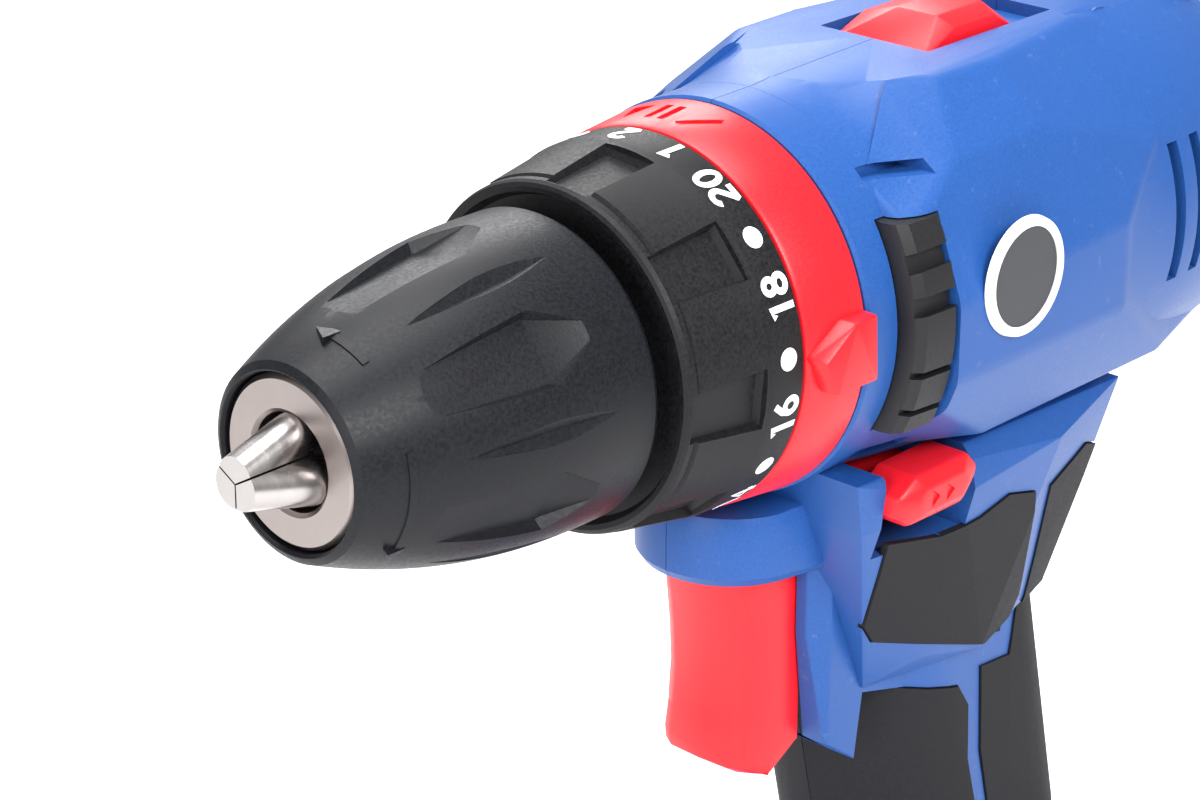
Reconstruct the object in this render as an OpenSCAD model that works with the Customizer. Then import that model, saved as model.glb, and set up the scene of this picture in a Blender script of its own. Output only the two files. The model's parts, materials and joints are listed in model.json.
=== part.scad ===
// Cordless drill driver: keyless chuck, torque collar, three-stage two-speed planetary
// gearbox, brushed motor, pistol-grip housing in two halves and a slide-on battery pack.
// +X points to the nose, +Y to the drill's left side and +Z up. The origin is the middle of
// the battery pack's bottom face. Distances called "s" run forwards along the spindle axis
// from the front face of the housing's nose, which is also the mode ring's rear face.

/* [Layout] */
// Height of the spindle axis above the bottom of the battery pack
axis_z = 150; // [140:1:165]
// Distance from the middle of the pack forwards to the housing's front face
nose_x = 46; // [42:1:50]
// Distance from the housing's front face back to its rear end
body_len = 102; // [102:1:125]
// Gap left between parts that move past each other
run_gap = 0.3; // [0.25:0.05:0.4]
// Radial clearance of a shaft or pin in its hole
fit_gap = 0.05; // [0.03:0.01:0.08]

/* [Chuck] */
// Largest radius of the chuck sleeve
sleeve_r = 20.8; // [20.8:0.1:22]
// Length of the chuck sleeve
sleeve_len = 43; // [43:0.5:46]
// Radius of the steel nose inside the sleeve's front lip
chuck_nose_r = 11; // [10.6:0.1:11.4]
// Radius of the hole for the tool shank
chuck_bore_r = 6.3; // [6.2:0.05:6.5]
// Radius of one jaw
jaw_r = 3; // [2.8:0.05:3.1]
// Length of one jaw
jaw_len = 32.5; // [32:0.1:33]
// Angle between a jaw and the spindle axis
jaw_tilt = 17.5; // [16:0.5:18]
// How far the closed jaws stand out of the nose
jaw_proud = 8.4; // [7:0.2:9]
// How far each jaw runs back when the chuck is fully open
jaw_travel = 16.6; // [14:0.2:16.6]
// Width of the gap between the collar and the sleeve
sleeve_gap = 2; // [1.5:0.1:2.5]

/* [Collar and ring] */
// Radius of the torque collar where it meets the mode ring
collar_rear_r = 25.8; // [25.6:0.1:27]
// Radius of the torque collar's front rim
collar_front_r = 23.4; // [23.2:0.1:24.5]
// Length of the torque collar
collar_len = 19.5; // [19.5:0.5:22]
// Radius of the mode ring at the housing
ring_rear_r = 27; // [27:0.1:28]
// Length of the mode ring
ring_len = 11; // [11:0.5:13]
// Number of finger recesses around the collar
recess_count = 8; // [6:1:10]

/* [Gearbox] */
// Gear module
gear_mod = 0.85; // [0.8:0.01:0.86]
// Teeth on each sun and planet gear
sun_teeth = 12; // [12]
// Teeth inside each ring gear
ring_teeth = 36; // [36]
// Outer radius of the gear case
case_r = 21.5; // [21.3:0.1:22]
// Wall of the gear case
case_wall = 2.4; // [2:0.1:2.5]
// Thickness of each planet carrier
carrier_t = 2.6; // [2.2:0.1:3]
// Radius of the spindle in its bearings
spindle_r = 6; // [5.5:0.1:6]
// Travel of the speed selector
shift_travel = 5.4; // [5:0.1:5.6]

/* [Motor] */
// Radius of the motor can
motor_r = 18; // [17:0.1:18.5]
// Length of the motor can
motor_len = 48; // [44:0.5:48]
// Radius of the motor shaft
shaft_r = 1.6; // [1.5:0.05:1.7]

/* [Housing] */
// Largest radius of the round body
body_r = 31; // [30.5:0.1:32.5]
// Wall of the housing
wall = 2.6; // [2.2:0.1:3]
// Height of the top plateau above the spindle axis
hump_h = 28.4; // [28.2:0.1:29.4]
// Backward lean of the handle
handle_lean = 13; // [11:0.5:14]
// Width of the handle across the bare plastic
handle_w = 31; // [30:0.5:34]
// Depth of the handle from front to back
handle_d = 46; // [44:0.5:48]
// Thickness of the rubber over the handle
rubber_t = 1.2; // [1:0.1:1.6]

/* [Controls] */
// Width of the trigger
trigger_w = 18; // [16:0.5:18.5]
// Height of the trigger
trigger_h = 27; // [25:0.5:28]
// Travel of the trigger
trigger_travel = 6.5; // [5:0.1:6.5]
// Travel of the direction lever to each side
lever_travel = 3; // [2:0.1:3.5]

/* [Battery] */
// Length of the battery pack
pack_len = 82; // [80:1:90]
// Width of the battery pack
pack_w = 62; // [62:1:68]
// Height of the battery pack's case
pack_h = 27; // [26:0.5:30]
// Radius of one battery cell
cell_r = 9.2; // [9:0.05:9.2]
// Length of one battery cell
cell_len = 65; // [65:0.5:66]

/* [Hidden] */
$fn = 48;

// Chuck stations
collar_s0 = ring_len + run_gap;
collar_s1 = ring_len + collar_len;
sleeve_s0 = collar_s1 + sleeve_gap;
sleeve_s1 = sleeve_s0 + sleeve_len;
nose_s = sleeve_s1 - 0.5;
jaw_tip_s = nose_s + jaw_proud;
jaw_tip_r = 3.5;
jaw_off = jaw_tip_r - jaw_r / cos(jaw_tilt);
chuck_s0 = sleeve_s0 + 1.6;
chuck_flange_s = chuck_s0 + 7;
flange_t = 3.6;
nut_s0 = chuck_flange_s + flange_t + 4.6;
nut_len = 5.6;
nut_r = 16.5;
inner_sleeve_r = sleeve_r - 2.6;
flange_r = inner_sleeve_r - run_gap;

// Gearbox stations
pitch_r = gear_mod * sun_teeth / 2;
planet_at = 2 * pitch_r;
ring_pitch_r = gear_mod * ring_teeth / 2;
ring_outer_r = case_r - case_wall - run_gap;
planet_pin_r = 1.5;
carrier_r = ring_pitch_r - 1.4;
front_wall_s = -2.5;
front_wall_t = 3;
stage_s = [-40, -28, -17];
stage_w = [5, 7, 7.5];
plate_gap = 0.4;
hub_r = 12;
nose_tube_s = collar_s1;
bearing_r = spindle_r + 3.4;
spindle_front_s = chuck_s0 - 0.1;
spindle_thread_r = 4.8;
spindle_thread_len = 14;
cup_r0 = case_r - 0.6;
cup_r1 = case_r + 0.5;
cup_s = ring_len - 1.5;
motor_plate_t = 2;
motor_s1 = stage_s[0] - 3;
motor_s0 = motor_s1 - motor_len;

// Clutch stations
washer_t = 1.2;
nut_rest_s = 14;
clutch_nut_len = 4;

// Housing stations
cavity_r = body_r - wall - 3;
band_r = ring_rear_r + 0.3;
bore_r = band_r - wall;
handle_top_x = nose_x - 5.15;
front_r = 15;
rear_r = 14.5;
foot_z = pack_h + 1;
foot_t = 5;
foot_len = pack_len - 6;
foot_w = pack_w - 4;
handle_low = (axis_z - foot_z - foot_t) / cos(handle_lean);
trigger_top = -39.5;
trigger_low = trigger_top - trigger_h;
trigger_rear_s = -10;
switch_w = 21;
lever_s = -18;
lever_z = -25.5;
selector_s = -45;
selector_w = 16;
selector_half_len = 10.8;
selector_sink = 1.9;
selector_rise = 2.6;
boss_spots = [[-68, 24.4], [-88, 24.6], [-88, -24.6], [-54, -27], [-34, -78], [-38, -98]];
boss_r = 2.9;
boss_half = handle_w / 2 - 2.5;
head_y = 8;
screw_r = 1.5;
hump_front = -8;
hump_edge = -25;
hump_rear = -62;
hump_w = 35;
bumper_s = [-14, -4];
rail_w = pack_w - 25;
latch_x = pack_len / 2 - 10;
hook_w = 10;

// ---- Shared shapes -------------------------------------------------------------------

// Puts local +Z on the spindle axis, pointing forwards, with z = 0 at station s
module on_axis(s = 0)
    translate([nose_x + s, 0, axis_z]) rotate([0, 90, 0]) children();

// Places things by station and by height over the spindle axis
module at_spindle(s = 0, z = 0)
    translate([nose_x + s, 0, axis_z + z]) children();

module turned(outline, fn = 96)
    on_axis() rotate_extrude($fn = fn) polygon(outline);

module tube(s0, s1, outer, inner, fn = 96)
    on_axis(s0) difference() {
        cylinder(h = s1 - s0, r = outer, $fn = fn);
        translate([0, 0, -1]) cylinder(h = s1 - s0 + 2, r = inner, $fn = fn);
    }

// Side view outline in [s, height], extruded over the width
module side_cut(outline, width)
    at_spindle() rotate([90, 0, 0])
        linear_extrude(height = width, center = true) polygon(outline);

module left_half()
    translate([-200, 0, -50]) cube([400, 100, 300]);

// Block with upright rounded corners, centred in x and y
module slab(size, corner)
    translate([0, 0, size[2] / 2]) union() {
        cube([size[0] - 2 * corner, size[1], size[2]], center = true);
        cube([size[0], size[1] - 2 * corner, size[2]], center = true);
        for (x = [-1, 1], y = [-1, 1])
            translate([x * (size[0] / 2 - corner), y * (size[1] / 2 - corner), 0])
                cylinder(h = size[2], r = corner, center = true);
    }

// Gear outline: shares are the tooth's half widths at root and tip, as parts of one pitch
function tooth(i, count, r_root, r_tip, root_share, tip_share) =
    let (pitch = 360 / count, mid = i * pitch)
    [for (c = [[r_root, -root_share], [r_tip, -tip_share], [r_tip, tip_share],
               [r_root, root_share]])
        [c[0] * cos(mid + c[1] * pitch), c[0] * sin(mid + c[1] * pitch)]];

module gear_outline(count, r_root, r_tip, root_share, tip_share)
    polygon([for (i = [0:count - 1], p = tooth(i, count, r_root, r_tip, root_share, tip_share)) p]);

module sun(s0, s1)
    on_axis(s0) linear_extrude(height = s1 - s0)
        gear_outline(sun_teeth, pitch_r - 1.1 * gear_mod, pitch_r + 0.75 * gear_mod, 0.28, 0.1);

// Helical compression spring along local +Z, its two ends inside 0 and len
module coil(r, wire, turns, len, sides = 6, steps = 16) {
    last = turns * steps;
    rings = [for (i = [0:last]) [for (j = [0:sides - 1])
        let (a = i * 360 / steps, b = j * 360 / sides, rr = r + wire * cos(b))
        [rr * cos(a), rr * sin(a), wire + i * (len - 2 * wire) / last + wire * sin(b)]]];
    side_faces = [for (i = [0:last - 1], j = [0:sides - 1])
        let (k = (j + 1) % sides)
        [i * sides + k, i * sides + j, (i + 1) * sides + j, (i + 1) * sides + k]];
    ends = [[for (j = [0:sides - 1]) j], [for (j = [0:sides - 1]) (last + 1) * sides - 1 - j]];
    polyhedron([for (ring = rings, p = ring) p], concat(side_faces, ends));
}

// ---- Housing -------------------------------------------------------------------------

// Handle frame: local z runs up the handle, x = 0 is its front face
module in_handle()
    translate([handle_top_x, 0, axis_z]) rotate([0, handle_lean, 0]) children();

module handle_column(grow, low, high)
    in_handle() for (part = [0:2])
        translate([0, 0, low])
            if (part == 0)
                translate([-front_r, 0, 0]) cylinder(h = high - low, r = handle_w / 2 + grow);
            else if (part == 1)
                translate([-handle_d + rear_r, 0, 0])
                    cylinder(h = high - low, r = rear_r + grow);
            else
                translate([-handle_d + rear_r, -rear_r - grow, 0])
                    cube([handle_d - front_r - rear_r, 2 * (rear_r + grow), high - low]);

// Round slice across the spindle axis, as thin as the joints of a hull allow
module slice(s, radius)
    on_axis(s) cylinder(h = 0.1, r = radius, $fn = 64);

module barrel_form() {
    on_axis(-7) cylinder(h = 7, r = band_r, $fn = 64);
    hull() {
        slice(-6, band_r - 0.2);
        slice(-26, body_r - 0.4);
    }
    hull() {
        slice(-26, body_r - 0.4);
        slice(-40, body_r);
        slice(-70, body_r);
    }
    hull() {
        slice(-70, body_r);
        slice(-body_len + 14, body_r - 2);
        slice(-body_len + 3, body_r - 7);
        slice(-body_len, body_r - 12);
    }
}

// Box across the body at a station, from height z0 up to z1
module across(s, len, width, z0, z1)
    at_spindle(s, z0) translate([0, -width / 2, 0]) cube([len, width, z1 - z0]);

module hump_form() {
    hull() {
        across(hump_front - 4, 4, 45, 6, 21);
        across(hump_edge - 4, 4, 50, 6, 20);
        across(hump_edge - 4, 4, hump_w, 8, hump_h);
    }
    hull() {
        across(hump_edge - 4, 4, 50, 6, 20);
        across(hump_edge - 4, 4, hump_w, 8, hump_h);
        across(hump_rear, 4, 46, 6, 19);
        across(hump_rear, 4, hump_w - 4, 8, hump_h);
    }
    hull() {
        across(hump_rear, 4, 46, 6, 19);
        across(hump_rear, 4, hump_w - 4, 8, hump_h);
        across(-body_len + 6, 4, 22, 6, 22);
    }
}

module brow_form()
    hull() {
        at_spindle(-5, -38.4) cylinder(h = 10.6, r = 13, $fn = 32);
        at_spindle(-22, -39) translate([-3, -15, 0]) cube([6, 30, 11]);
    }

module neck_form(grow)
    hull() {
        at_spindle(-24, -24) cylinder(h = 4, r = 22 + grow, $fn = 32);
        at_spindle(-44, -24) cylinder(h = 4, r = 23 + grow, $fn = 32);
        at_spindle(-26, -62) cylinder(h = 4, r = 14 + grow, $fn = 32);
        at_spindle(-48, -62) cylinder(h = 4, r = 14 + grow, $fn = 32);
    }

module trigger_frame_form()
    side_cut([[-9, -34], [-8.5, -50], [-10, -69], [-15, -76], [-30, -76], [-30, -34]],
             handle_w - 4);

module foot_form()
    hull() {
        translate([-2, 0, foot_z]) slab([foot_len, foot_w, foot_t], 8);
        in_handle() translate([-front_r, 0, -handle_low + 4])
            cylinder(h = 10, r = handle_w / 2, $fn = 32);
        in_handle() translate([-handle_d + rear_r, 0, -handle_low + 4])
            cylinder(h = 10, r = rear_r, $fn = 32);
    }

module housing_form() {
    difference() {
        barrel_form();
        across(-body_len - 1, body_len, 80, hump_h, hump_h + 20);
    }
    hump_form();
    brow_form();
    neck_form(0);
    trigger_frame_form();
    handle_column(0, -handle_low, -45);
    foot_form();
}

module housing_cavity() {
    // Room for the gearbox, the motor, the switch and the wiring
    tube(-body_len + 12.5, -9, cavity_r, 0, 64);
    tube(-body_len + wall + 1, -body_len + 13, cavity_r - 7, 0, 64);
    tube(-10, 1, bore_r, 0, 64);
    at_spindle(-60, -54) translate([0, -switch_w / 2 - 0.4, 0]) cube([44, switch_w + 0.8, 36]);
    at_spindle(-45.5, -63.5) translate([0, -switch_w / 2 - 0.5, 0]) cube([26, switch_w + 1, 12]);
    in_handle() translate([-handle_d + wall + 1, -handle_w / 2 + wall + 2, -handle_low + 4])
        cube([handle_d - 2 * wall - 4, handle_w - 2 * wall - 4, handle_low - 50]);
}

// Openings that the trigger, the lever, the selector and the battery pack move in
module housing_windows() {
    at_spindle(trigger_rear_s - trigger_travel - 5.5, trigger_low - 1)
        translate([0, -trigger_w / 2 - 0.4, 0])
        cube([30, trigger_w + 0.8, trigger_h + 1.9]);
    at_spindle(lever_s, lever_z) cube([17.2, 80, 7.2], center = true);
    at_spindle(selector_s - shift_travel, cavity_r - 2)
        translate([-5.3, -4.3, 0]) cube([10.6 + shift_travel, 8.6, 20]);
    across(selector_s - shift_travel - selector_half_len - 0.5,
        2 * selector_half_len + 1 + shift_travel, selector_w + 2.6,
        hump_h - selector_sink - 0.1, hump_h + 20);
    translate([-foot_len / 2 + 4, -rail_w / 2 - 0.5, foot_z - 1])
        cube([foot_len, rail_w + 1, foot_t - 1]);
    translate([latch_x - 0.4, -hook_w / 2 - 0.4, foot_z]) cube([3.8, hook_w + 0.8, foot_t - 0.4]);
}

// Rib that holds the gearbox or the motor, open at the bottom for the lever and the wires
module rib(s0, inner)
    difference() {
        tube(s0, s0 + 2, cavity_r + 0.4, inner, 64);
        at_spindle(s0 + 1, -30) cube([4, 50, 26], center = true);
    }

module bumper_pocket()
    intersection() {
        tube(bumper_s[0], bumper_s[1], body_r + 4, band_r - 1 + run_gap);
        at_spindle((bumper_s[0] + bumper_s[1]) / 2, 0) cube([20, 90, 29], center = true);
    }

module air_slots()
    for (i = [0:3])
        at_spindle(-66 - 6.5 * i, 0) translate([0, body_r, 2]) rotate([0, -18, 0])
            cube([2.4, 16, 17], center = true);

module side_slots()
    for (z = [-20.7, 20.7], y = [-23, 23])
        at_spindle(-9, z) translate([0, y, 0]) cube([9.4, 5, 1.6], center = true);

module bosses(radius, half)
    for (p = boss_spots)
        at_spindle(p[0], p[1]) rotate([90, 0, 0])
            cylinder(h = 2 * half, r = radius, center = true, $fn = 24);

// One half of the housing, from the joint plane outwards on the left side
module half_housing()
    difference() {
        intersection() {
            union() {
                difference() {
                    housing_form();
                    housing_cavity();
                }
                rib(-16, case_r + 0.1);
                rib(motor_s1 - 10, motor_r + 0.1);
                rib(motor_s0 + 4, motor_r + 0.1);
                bosses(boss_r, boss_half);
            }
            left_half();
        }
        housing_windows();
        bumper_pocket();
        air_slots();
        side_slots();
    }

module left_housing()
    color([0.26, 0.45, 0.80]) difference() {
        half_housing();
        bosses(screw_r + fit_gap, head_y);
    }

module right_housing()
    color([0.26, 0.45, 0.80]) mirror([0, 1, 0]) difference() {
        half_housing();
        bosses(screw_r + fit_gap, head_y + 1);
        for (p = boss_spots)
            at_spindle(p[0], p[1]) translate([0, head_y, 0]) rotate([-90, 0, 0])
                cylinder(h = 30, r = boss_r - 0.1, $fn = 24);
    }

// Rubber panels on the left: two on the side of the handle and half of the spine behind it
module grip_zone() {
    side_cut([[-6.3, -31.3], [-15.9, -52.6], [-41, -61.7], [-42.3, -57.9], [-34, -34],
              [-24, -31]], 90);
    side_cut([[-16.5, -74], [-14, -61.5], [-40, -67.5], [-42, -79.6], [-47, -100], [-20, -100]],
             90);
    side_cut([[-44, -64], [-44, -34], [-70, -50], [-80, -112], [-52, -100]], 90);
}

module half_grip()
    difference() {
        intersection() {
            union() {
                handle_column(rubber_t, -handle_low + 15, -50);
                neck_form(rubber_t);
            }
            grip_zone();
            left_half();
        }
        handle_column(0, -handle_low, -45);
        neck_form(0);
        on_axis(-70) cylinder(h = 63, r = body_r);
        trigger_frame_form();
        brow_form();
        bosses(boss_r + 0.3, 40);
    }

module left_grip()
    color([0.22, 0.22, 0.24]) half_grip();

module right_grip()
    color([0.22, 0.22, 0.24]) mirror([0, 1, 0]) half_grip();

module half_bumper()
    intersection() {
        difference() {
            tube(bumper_s[0] + 0.2, bumper_s[1] - 0.2, body_r - 0.2, band_r - 1 + run_gap);
            for (z = [10, 4, -6, -11])
                at_spindle((bumper_s[0] + bumper_s[1]) / 2, z) rotate([z * 1.5, 0, 0])
                    translate([-10, body_r - 2.4, -0.6]) cube([20, 9, z > 0 ? 2.4 : 1.2]);
        }
        at_spindle((bumper_s[0] + bumper_s[1]) / 2, 0) translate([-10, 0, -14.2])
            cube([20, 45, 28.4]);
    }

module left_bumper()
    color([0.16, 0.16, 0.17]) half_bumper();

module right_bumper()
    color([0.16, 0.16, 0.17]) mirror([0, 1, 0]) half_bumper();

module badge(side)
    color([0.92, 0.93, 0.95]) at_spindle(-26, 3.5)
        translate([0, side * (body_r + 0.2), 0]) rotate([-90 * side, 0, 0]) difference() {
            cylinder(h = 1, r = 8.3);
            translate([0, 0, 0.6]) cylinder(h = 1, r = 6.4);
        }

module left_badge()
    badge(1);

module right_badge()
    badge(-1);

module housing_screws()
    color([0.35, 0.35, 0.37])
        for (p = boss_spots)
            at_spindle(p[0], p[1]) {
                translate([0, -head_y, 0]) rotate([90, 0, 0]) difference() {
                    cylinder(h = 2.2, r = boss_r - 0.2, $fn = 24);
                    translate([0, 0, 1]) cylinder(h = 2, r = 1.3, $fn = 6);
                }
                translate([0, head_y - 1, 0]) rotate([90, 0, 0])
                    cylinder(h = 2 * head_y - 1, r = screw_r, $fn = 24);
            }

// ---- Controls ------------------------------------------------------------------------

module gear_selector()
    color([0.93, 0.13, 0.17]) {
        side_cut([[selector_s + selector_half_len, hump_h - selector_sink],
                  [selector_s + 4, hump_h + selector_rise],
                  [selector_s - 6, hump_h + selector_rise],
                  [selector_s - selector_half_len, hump_h - selector_sink]], selector_w);
        across(selector_s - 4.5, 9, 7.6, cavity_r - 1.9, hump_h - selector_sink + 1);
        across(stage_s[1] - 17.4, 22, 7.6, cavity_r - 1.9, cavity_r - 0.5);
    }

// Bar through the housing with a push face on each side and a finger into the switch
module direction_lever()
    color([0.93, 0.13, 0.17]) {
        at_spindle(lever_s, lever_z - 1.4) cube([12, 40, 3.4], center = true);
        for (side = [-1, 1])
            at_spindle(lever_s, lever_z)
                translate([0, side * (19.7 + (4.4 + lever_travel) / 2), 0])
                    cube([16.6, 4.4 + lever_travel, 6.6], center = true);
        at_spindle(lever_s - 4, -34) cube([4, 5, 12], center = true);
    }

module trigger()
    color([0.93, 0.13, 0.17]) difference() {
        intersection() {
            side_cut([[1.5, trigger_top], [0.4, trigger_top - 5], [-0.6, trigger_top - 15],
                      [1, trigger_low + 1], [-1, trigger_low], [trigger_rear_s, trigger_low + 2.6],
                      [trigger_rear_s, trigger_top]], trigger_w);
            at_spindle(0, trigger_low - 5) linear_extrude(height = trigger_h + 10)
                polygon([[-12, -trigger_w / 2], [-4, -trigger_w / 2], [3, -5], [3, 5],
                         [-4, trigger_w / 2], [-12, trigger_w / 2]]);
        }
        at_spindle(trigger_rear_s - 1, -50) rotate([0, 90, 0]) cylinder(h = 6, r = 3.8);
    }

module trigger_spring()
    color("silver") at_spindle(trigger_rear_s - 9.6, -50) rotate([0, 90, 0])
        coil(3, 0.35, 6, 14.2);

module switch_body()
    color([0.15, 0.15, 0.16]) at_spindle(-45, -63) translate([0, -switch_w / 2, 0]) difference() {
        cube([25, switch_w, 22.4]);
        translate([-1, 5.5, 8]) cube([7, 10, 8]);
    }

module switch_contacts()
    color([0.85, 0.65, 0.3])
        for (y = [-3, 3])
            at_spindle(-46.6, -51) translate([0, y, 0]) cube([7, 0.8, 5], center = true);

module heat_sink()
    color("silver") at_spindle(-44, -70) translate([0, -7, 0]) cube([16, 14, 6.8]);

// ---- Chuck ---------------------------------------------------------------------------

// Puts children on jaw i's own slanted axis: local z = 0 at the tip, +Z forwards
module jaw_axis(i)
    on_axis(jaw_tip_s) rotate([0, 0, 120 * i + 60]) translate([jaw_off, 0, 0])
        rotate([0, -jaw_tilt, 0]) children();

// Radius of the jaws' outermost line at a station
function jaw_line(s) = jaw_off + (jaw_tip_s - s) * tan(jaw_tilt) + jaw_r / cos(jaw_tilt);

module jaw(i)
    color([0.80, 0.79, 0.77]) intersection() {
        difference() {
            jaw_axis(i) translate([0, 0, -jaw_len]) cylinder(h = jaw_len + 4, r = jaw_r);
            jaw_axis(i) for (k = [0:6])
                translate([jaw_r - 0.4, -4, -jaw_len + 2 + 1.6 * k]) cube([2, 8, 0.7]);
        }
        on_axis(0) rotate([0, 0, 120 * i + 60]) linear_extrude(height = jaw_tip_s)
            polygon([[0.12, 0], [20.12, 34], [40, 34], [40, -34], [20.12, -34]]);
    }

module jaw_1() jaw(0);
module jaw_2() jaw(1);
module jaw_3() jaw(2);

module chuck_body()
    color([0.72, 0.71, 0.69]) difference() {
        turned([[spindle_thread_r + fit_gap, chuck_s0], [10, chuck_s0], [10, chuck_flange_s],
                [flange_r, chuck_flange_s], [flange_r, chuck_flange_s + flange_t],
                [12.5, chuck_flange_s + flange_t], [12.5, nose_s - 14],
                [chuck_nose_r, nose_s - 10], [chuck_nose_r, nose_s - 0.6],
                [chuck_nose_r - 0.6, nose_s], [chuck_bore_r + 0.5, nose_s],
                [chuck_bore_r, nose_s - 0.5], [chuck_bore_r, nose_s - 22],
                [2.7, nose_s - 22], [2.7, chuck_s0 + spindle_thread_len + 1.5],
                [spindle_thread_r + fit_gap, chuck_s0 + spindle_thread_len + 1.5]]);
        for (i = [0:2])
            jaw_axis(i) translate([0, 0, -jaw_len - jaw_travel - 2])
                cylinder(h = jaw_len + jaw_travel, r = jaw_r + fit_gap);
    }

module chuck_sleeve()
    color([0.13, 0.13, 0.14]) turned([
        [inner_sleeve_r, sleeve_s0], [sleeve_r - 0.5, sleeve_s0], [sleeve_r, sleeve_s0 + 1.2],
        [sleeve_r, sleeve_s0 + 9], [sleeve_r - 0.8, sleeve_s0 + 18],
        [sleeve_r - 2.3, sleeve_s0 + 26], [sleeve_r - 4.6, sleeve_s0 + 34],
        [sleeve_r - 6.6, sleeve_s0 + 39], [sleeve_r - 8, sleeve_s1 - 0.8],
        [sleeve_r - 8.6, sleeve_s1], [chuck_nose_r + run_gap, sleeve_s1],
        [chuck_nose_r + run_gap, nose_s - 10], [13, nose_s - 14], [13, sleeve_s0 + 29],
        [nut_r + run_gap, nut_s0 + nut_len + run_gap], [nut_r + run_gap, nut_s0],
        [inner_sleeve_r, nut_s0]]);

module chuck_nut()
    color([0.6, 0.6, 0.58]) turned([
        [jaw_line(nut_s0) + 0.15, nut_s0], [nut_r, nut_s0], [nut_r, nut_s0 + nut_len],
        [jaw_line(nut_s0 + nut_len) + 0.15, nut_s0 + nut_len]]);

module chuck_bearing()
    color("silver") tube(chuck_flange_s + flange_t + 0.1, nut_s0 - 0.1, flange_r,
        jaw_line(chuck_flange_s + flange_t) + 0.2);

module chuck_rear_plate()
    color([0.4, 0.4, 0.41]) tube(chuck_s0 + 0.1, chuck_s0 + 1.3, flange_r, 10);

module chuck_screw()
    color([0.3, 0.3, 0.32]) {
        seat = nose_s - 22;
        tube(seat, seat + 3, 4.4, 1.4);
        on_axis(seat - 12) cylinder(h = 12, r = 2.5);
    }

// ---- Collar, mode ring and clutch ----------------------------------------------------

module torque_collar()
    color([0.11, 0.11, 0.12]) difference() {
        turned([[case_r + 0.7, collar_s0], [collar_rear_r, collar_s0],
                [collar_rear_r - 0.1, collar_s0 + 5.4], [collar_front_r + 0.5, collar_s1 - 1.4],
                [collar_front_r, collar_s1 - 0.9], [collar_front_r - 0.5, collar_s1],
                [hub_r + run_gap, collar_s1], [hub_r + run_gap, collar_s1 - 3],
                [case_r + 0.7, collar_s1 - 3]]);
        for (i = [0:recess_count - 1])
            on_axis(collar_s0 + 6.6) rotate([0, 0, 360 / recess_count * i + 85])
                translate([collar_rear_r - 1.9, -4.2, 0]) rotate([0, -6, 0]) cube([3, 8.4, 11.4]);
    }

module collar_retainer()
    color([0.35, 0.35, 0.36]) tube(collar_s1 + 0.1, collar_s1 + 1.1, hub_r + 3,
        spindle_r + 2);

module mode_ring()
    color([0.93, 0.13, 0.17]) {
        turned([[cup_r1 + run_gap, 0.15], [ring_rear_r, 0.15],
                [collar_rear_r + 0.2, ring_len], [cup_r1 + run_gap, ring_len]]);
        // Raised pointer on the left side
        intersection() {
            on_axis(0.15) cylinder(h = ring_len + 1, r = ring_rear_r + 2.2);
            side_cut([[0.2, -4.5], [7.4, -4.5], [ring_len, 0], [7.4, 4.5], [0.2, 4.5]], 120);
            translate([0, ring_rear_r - 3, 0]) left_half();
        }
    }

module clutch_nut()
    color([0.5, 0.5, 0.5]) tube(nut_rest_s, nut_rest_s + clutch_nut_len, case_r - 0.1,
        hub_r + fit_gap);

module clutch_spring()
    color("silver") on_axis(washer_t + 0.1) coil(hub_r + 4, 1, 4, nut_rest_s - washer_t - 0.2);

module clutch_washer()
    color("silver") tube(0.02, washer_t, cup_r0 - run_gap, hub_r + run_gap);

module clutch_pins()
    color("gray") for (i = [0:5])
        on_axis(stage_s[2] + stage_w[2] + 0.5) rotate([0, 0, 60 * i]) translate([16.6, 0, 0])
            cylinder(h = -stage_s[2] - stage_w[2] - 0.5, r = 1.7);

// ---- Gearbox -------------------------------------------------------------------------

module gear_case()
    color([0.25, 0.25, 0.27]) difference() {
        turned([[case_r - case_wall, stage_s[0] - 0.9], [case_r, stage_s[0] - 0.9],
                [case_r, -8], [bore_r - 0.1, -8], [bore_r - 0.1, -5], [cup_r1, -5],
                [cup_r1, cup_s], [cup_r0, cup_s], [cup_r0, front_wall_s], [hub_r, front_wall_s],
                [hub_r, nose_tube_s], [bearing_r + fit_gap, nose_tube_s],
                [bearing_r + fit_gap, front_wall_s - front_wall_t],
                [case_r - case_wall, front_wall_s - front_wall_t]]);
        for (i = [0:5])
            on_axis(front_wall_s - front_wall_t - 1) rotate([0, 0, 60 * i])
                translate([16.6, 0, 0]) cylinder(h = 8, r = 1.7 + fit_gap);
        // Slots that let the shift wire's ends through
        for (side = [-1, 1])
            at_spindle(stage_s[1] + 3.5 - shift_travel / 2, 0) translate([0, side * 20, 0])
                cube([shift_travel + 2.6, 12, 2.4], center = true);
    }

module motor_plate()
    color("silver") tube(motor_s1, motor_s1 + motor_plate_t, case_r, 6.6);

module ring_gear(stage, grooved)
    color([0.55, 0.55, 0.53]) difference() {
        on_axis(stage_s[stage] - 0.2)
            cylinder(h = stage_w[stage] + 0.4, r = ring_outer_r, $fn = 96);
        on_axis(stage_s[stage] - 1) linear_extrude(height = stage_w[stage] + 2)
            rotate([0, 0, 180 / ring_teeth])
                gear_outline(ring_teeth, ring_pitch_r - 0.75 * gear_mod,
                             ring_pitch_r + 1.1 * gear_mod, 0.39, 0.22);
        if (grooved)
            tube(stage_s[stage] + 2.5, stage_s[stage] + 4.5, ring_outer_r + 1,
                 ring_outer_r - 1);
    }

module ring_gear_1() ring_gear(0, false);
module ring_gear_2() ring_gear(1, true);
module ring_gear_3() ring_gear(2, false);

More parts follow.
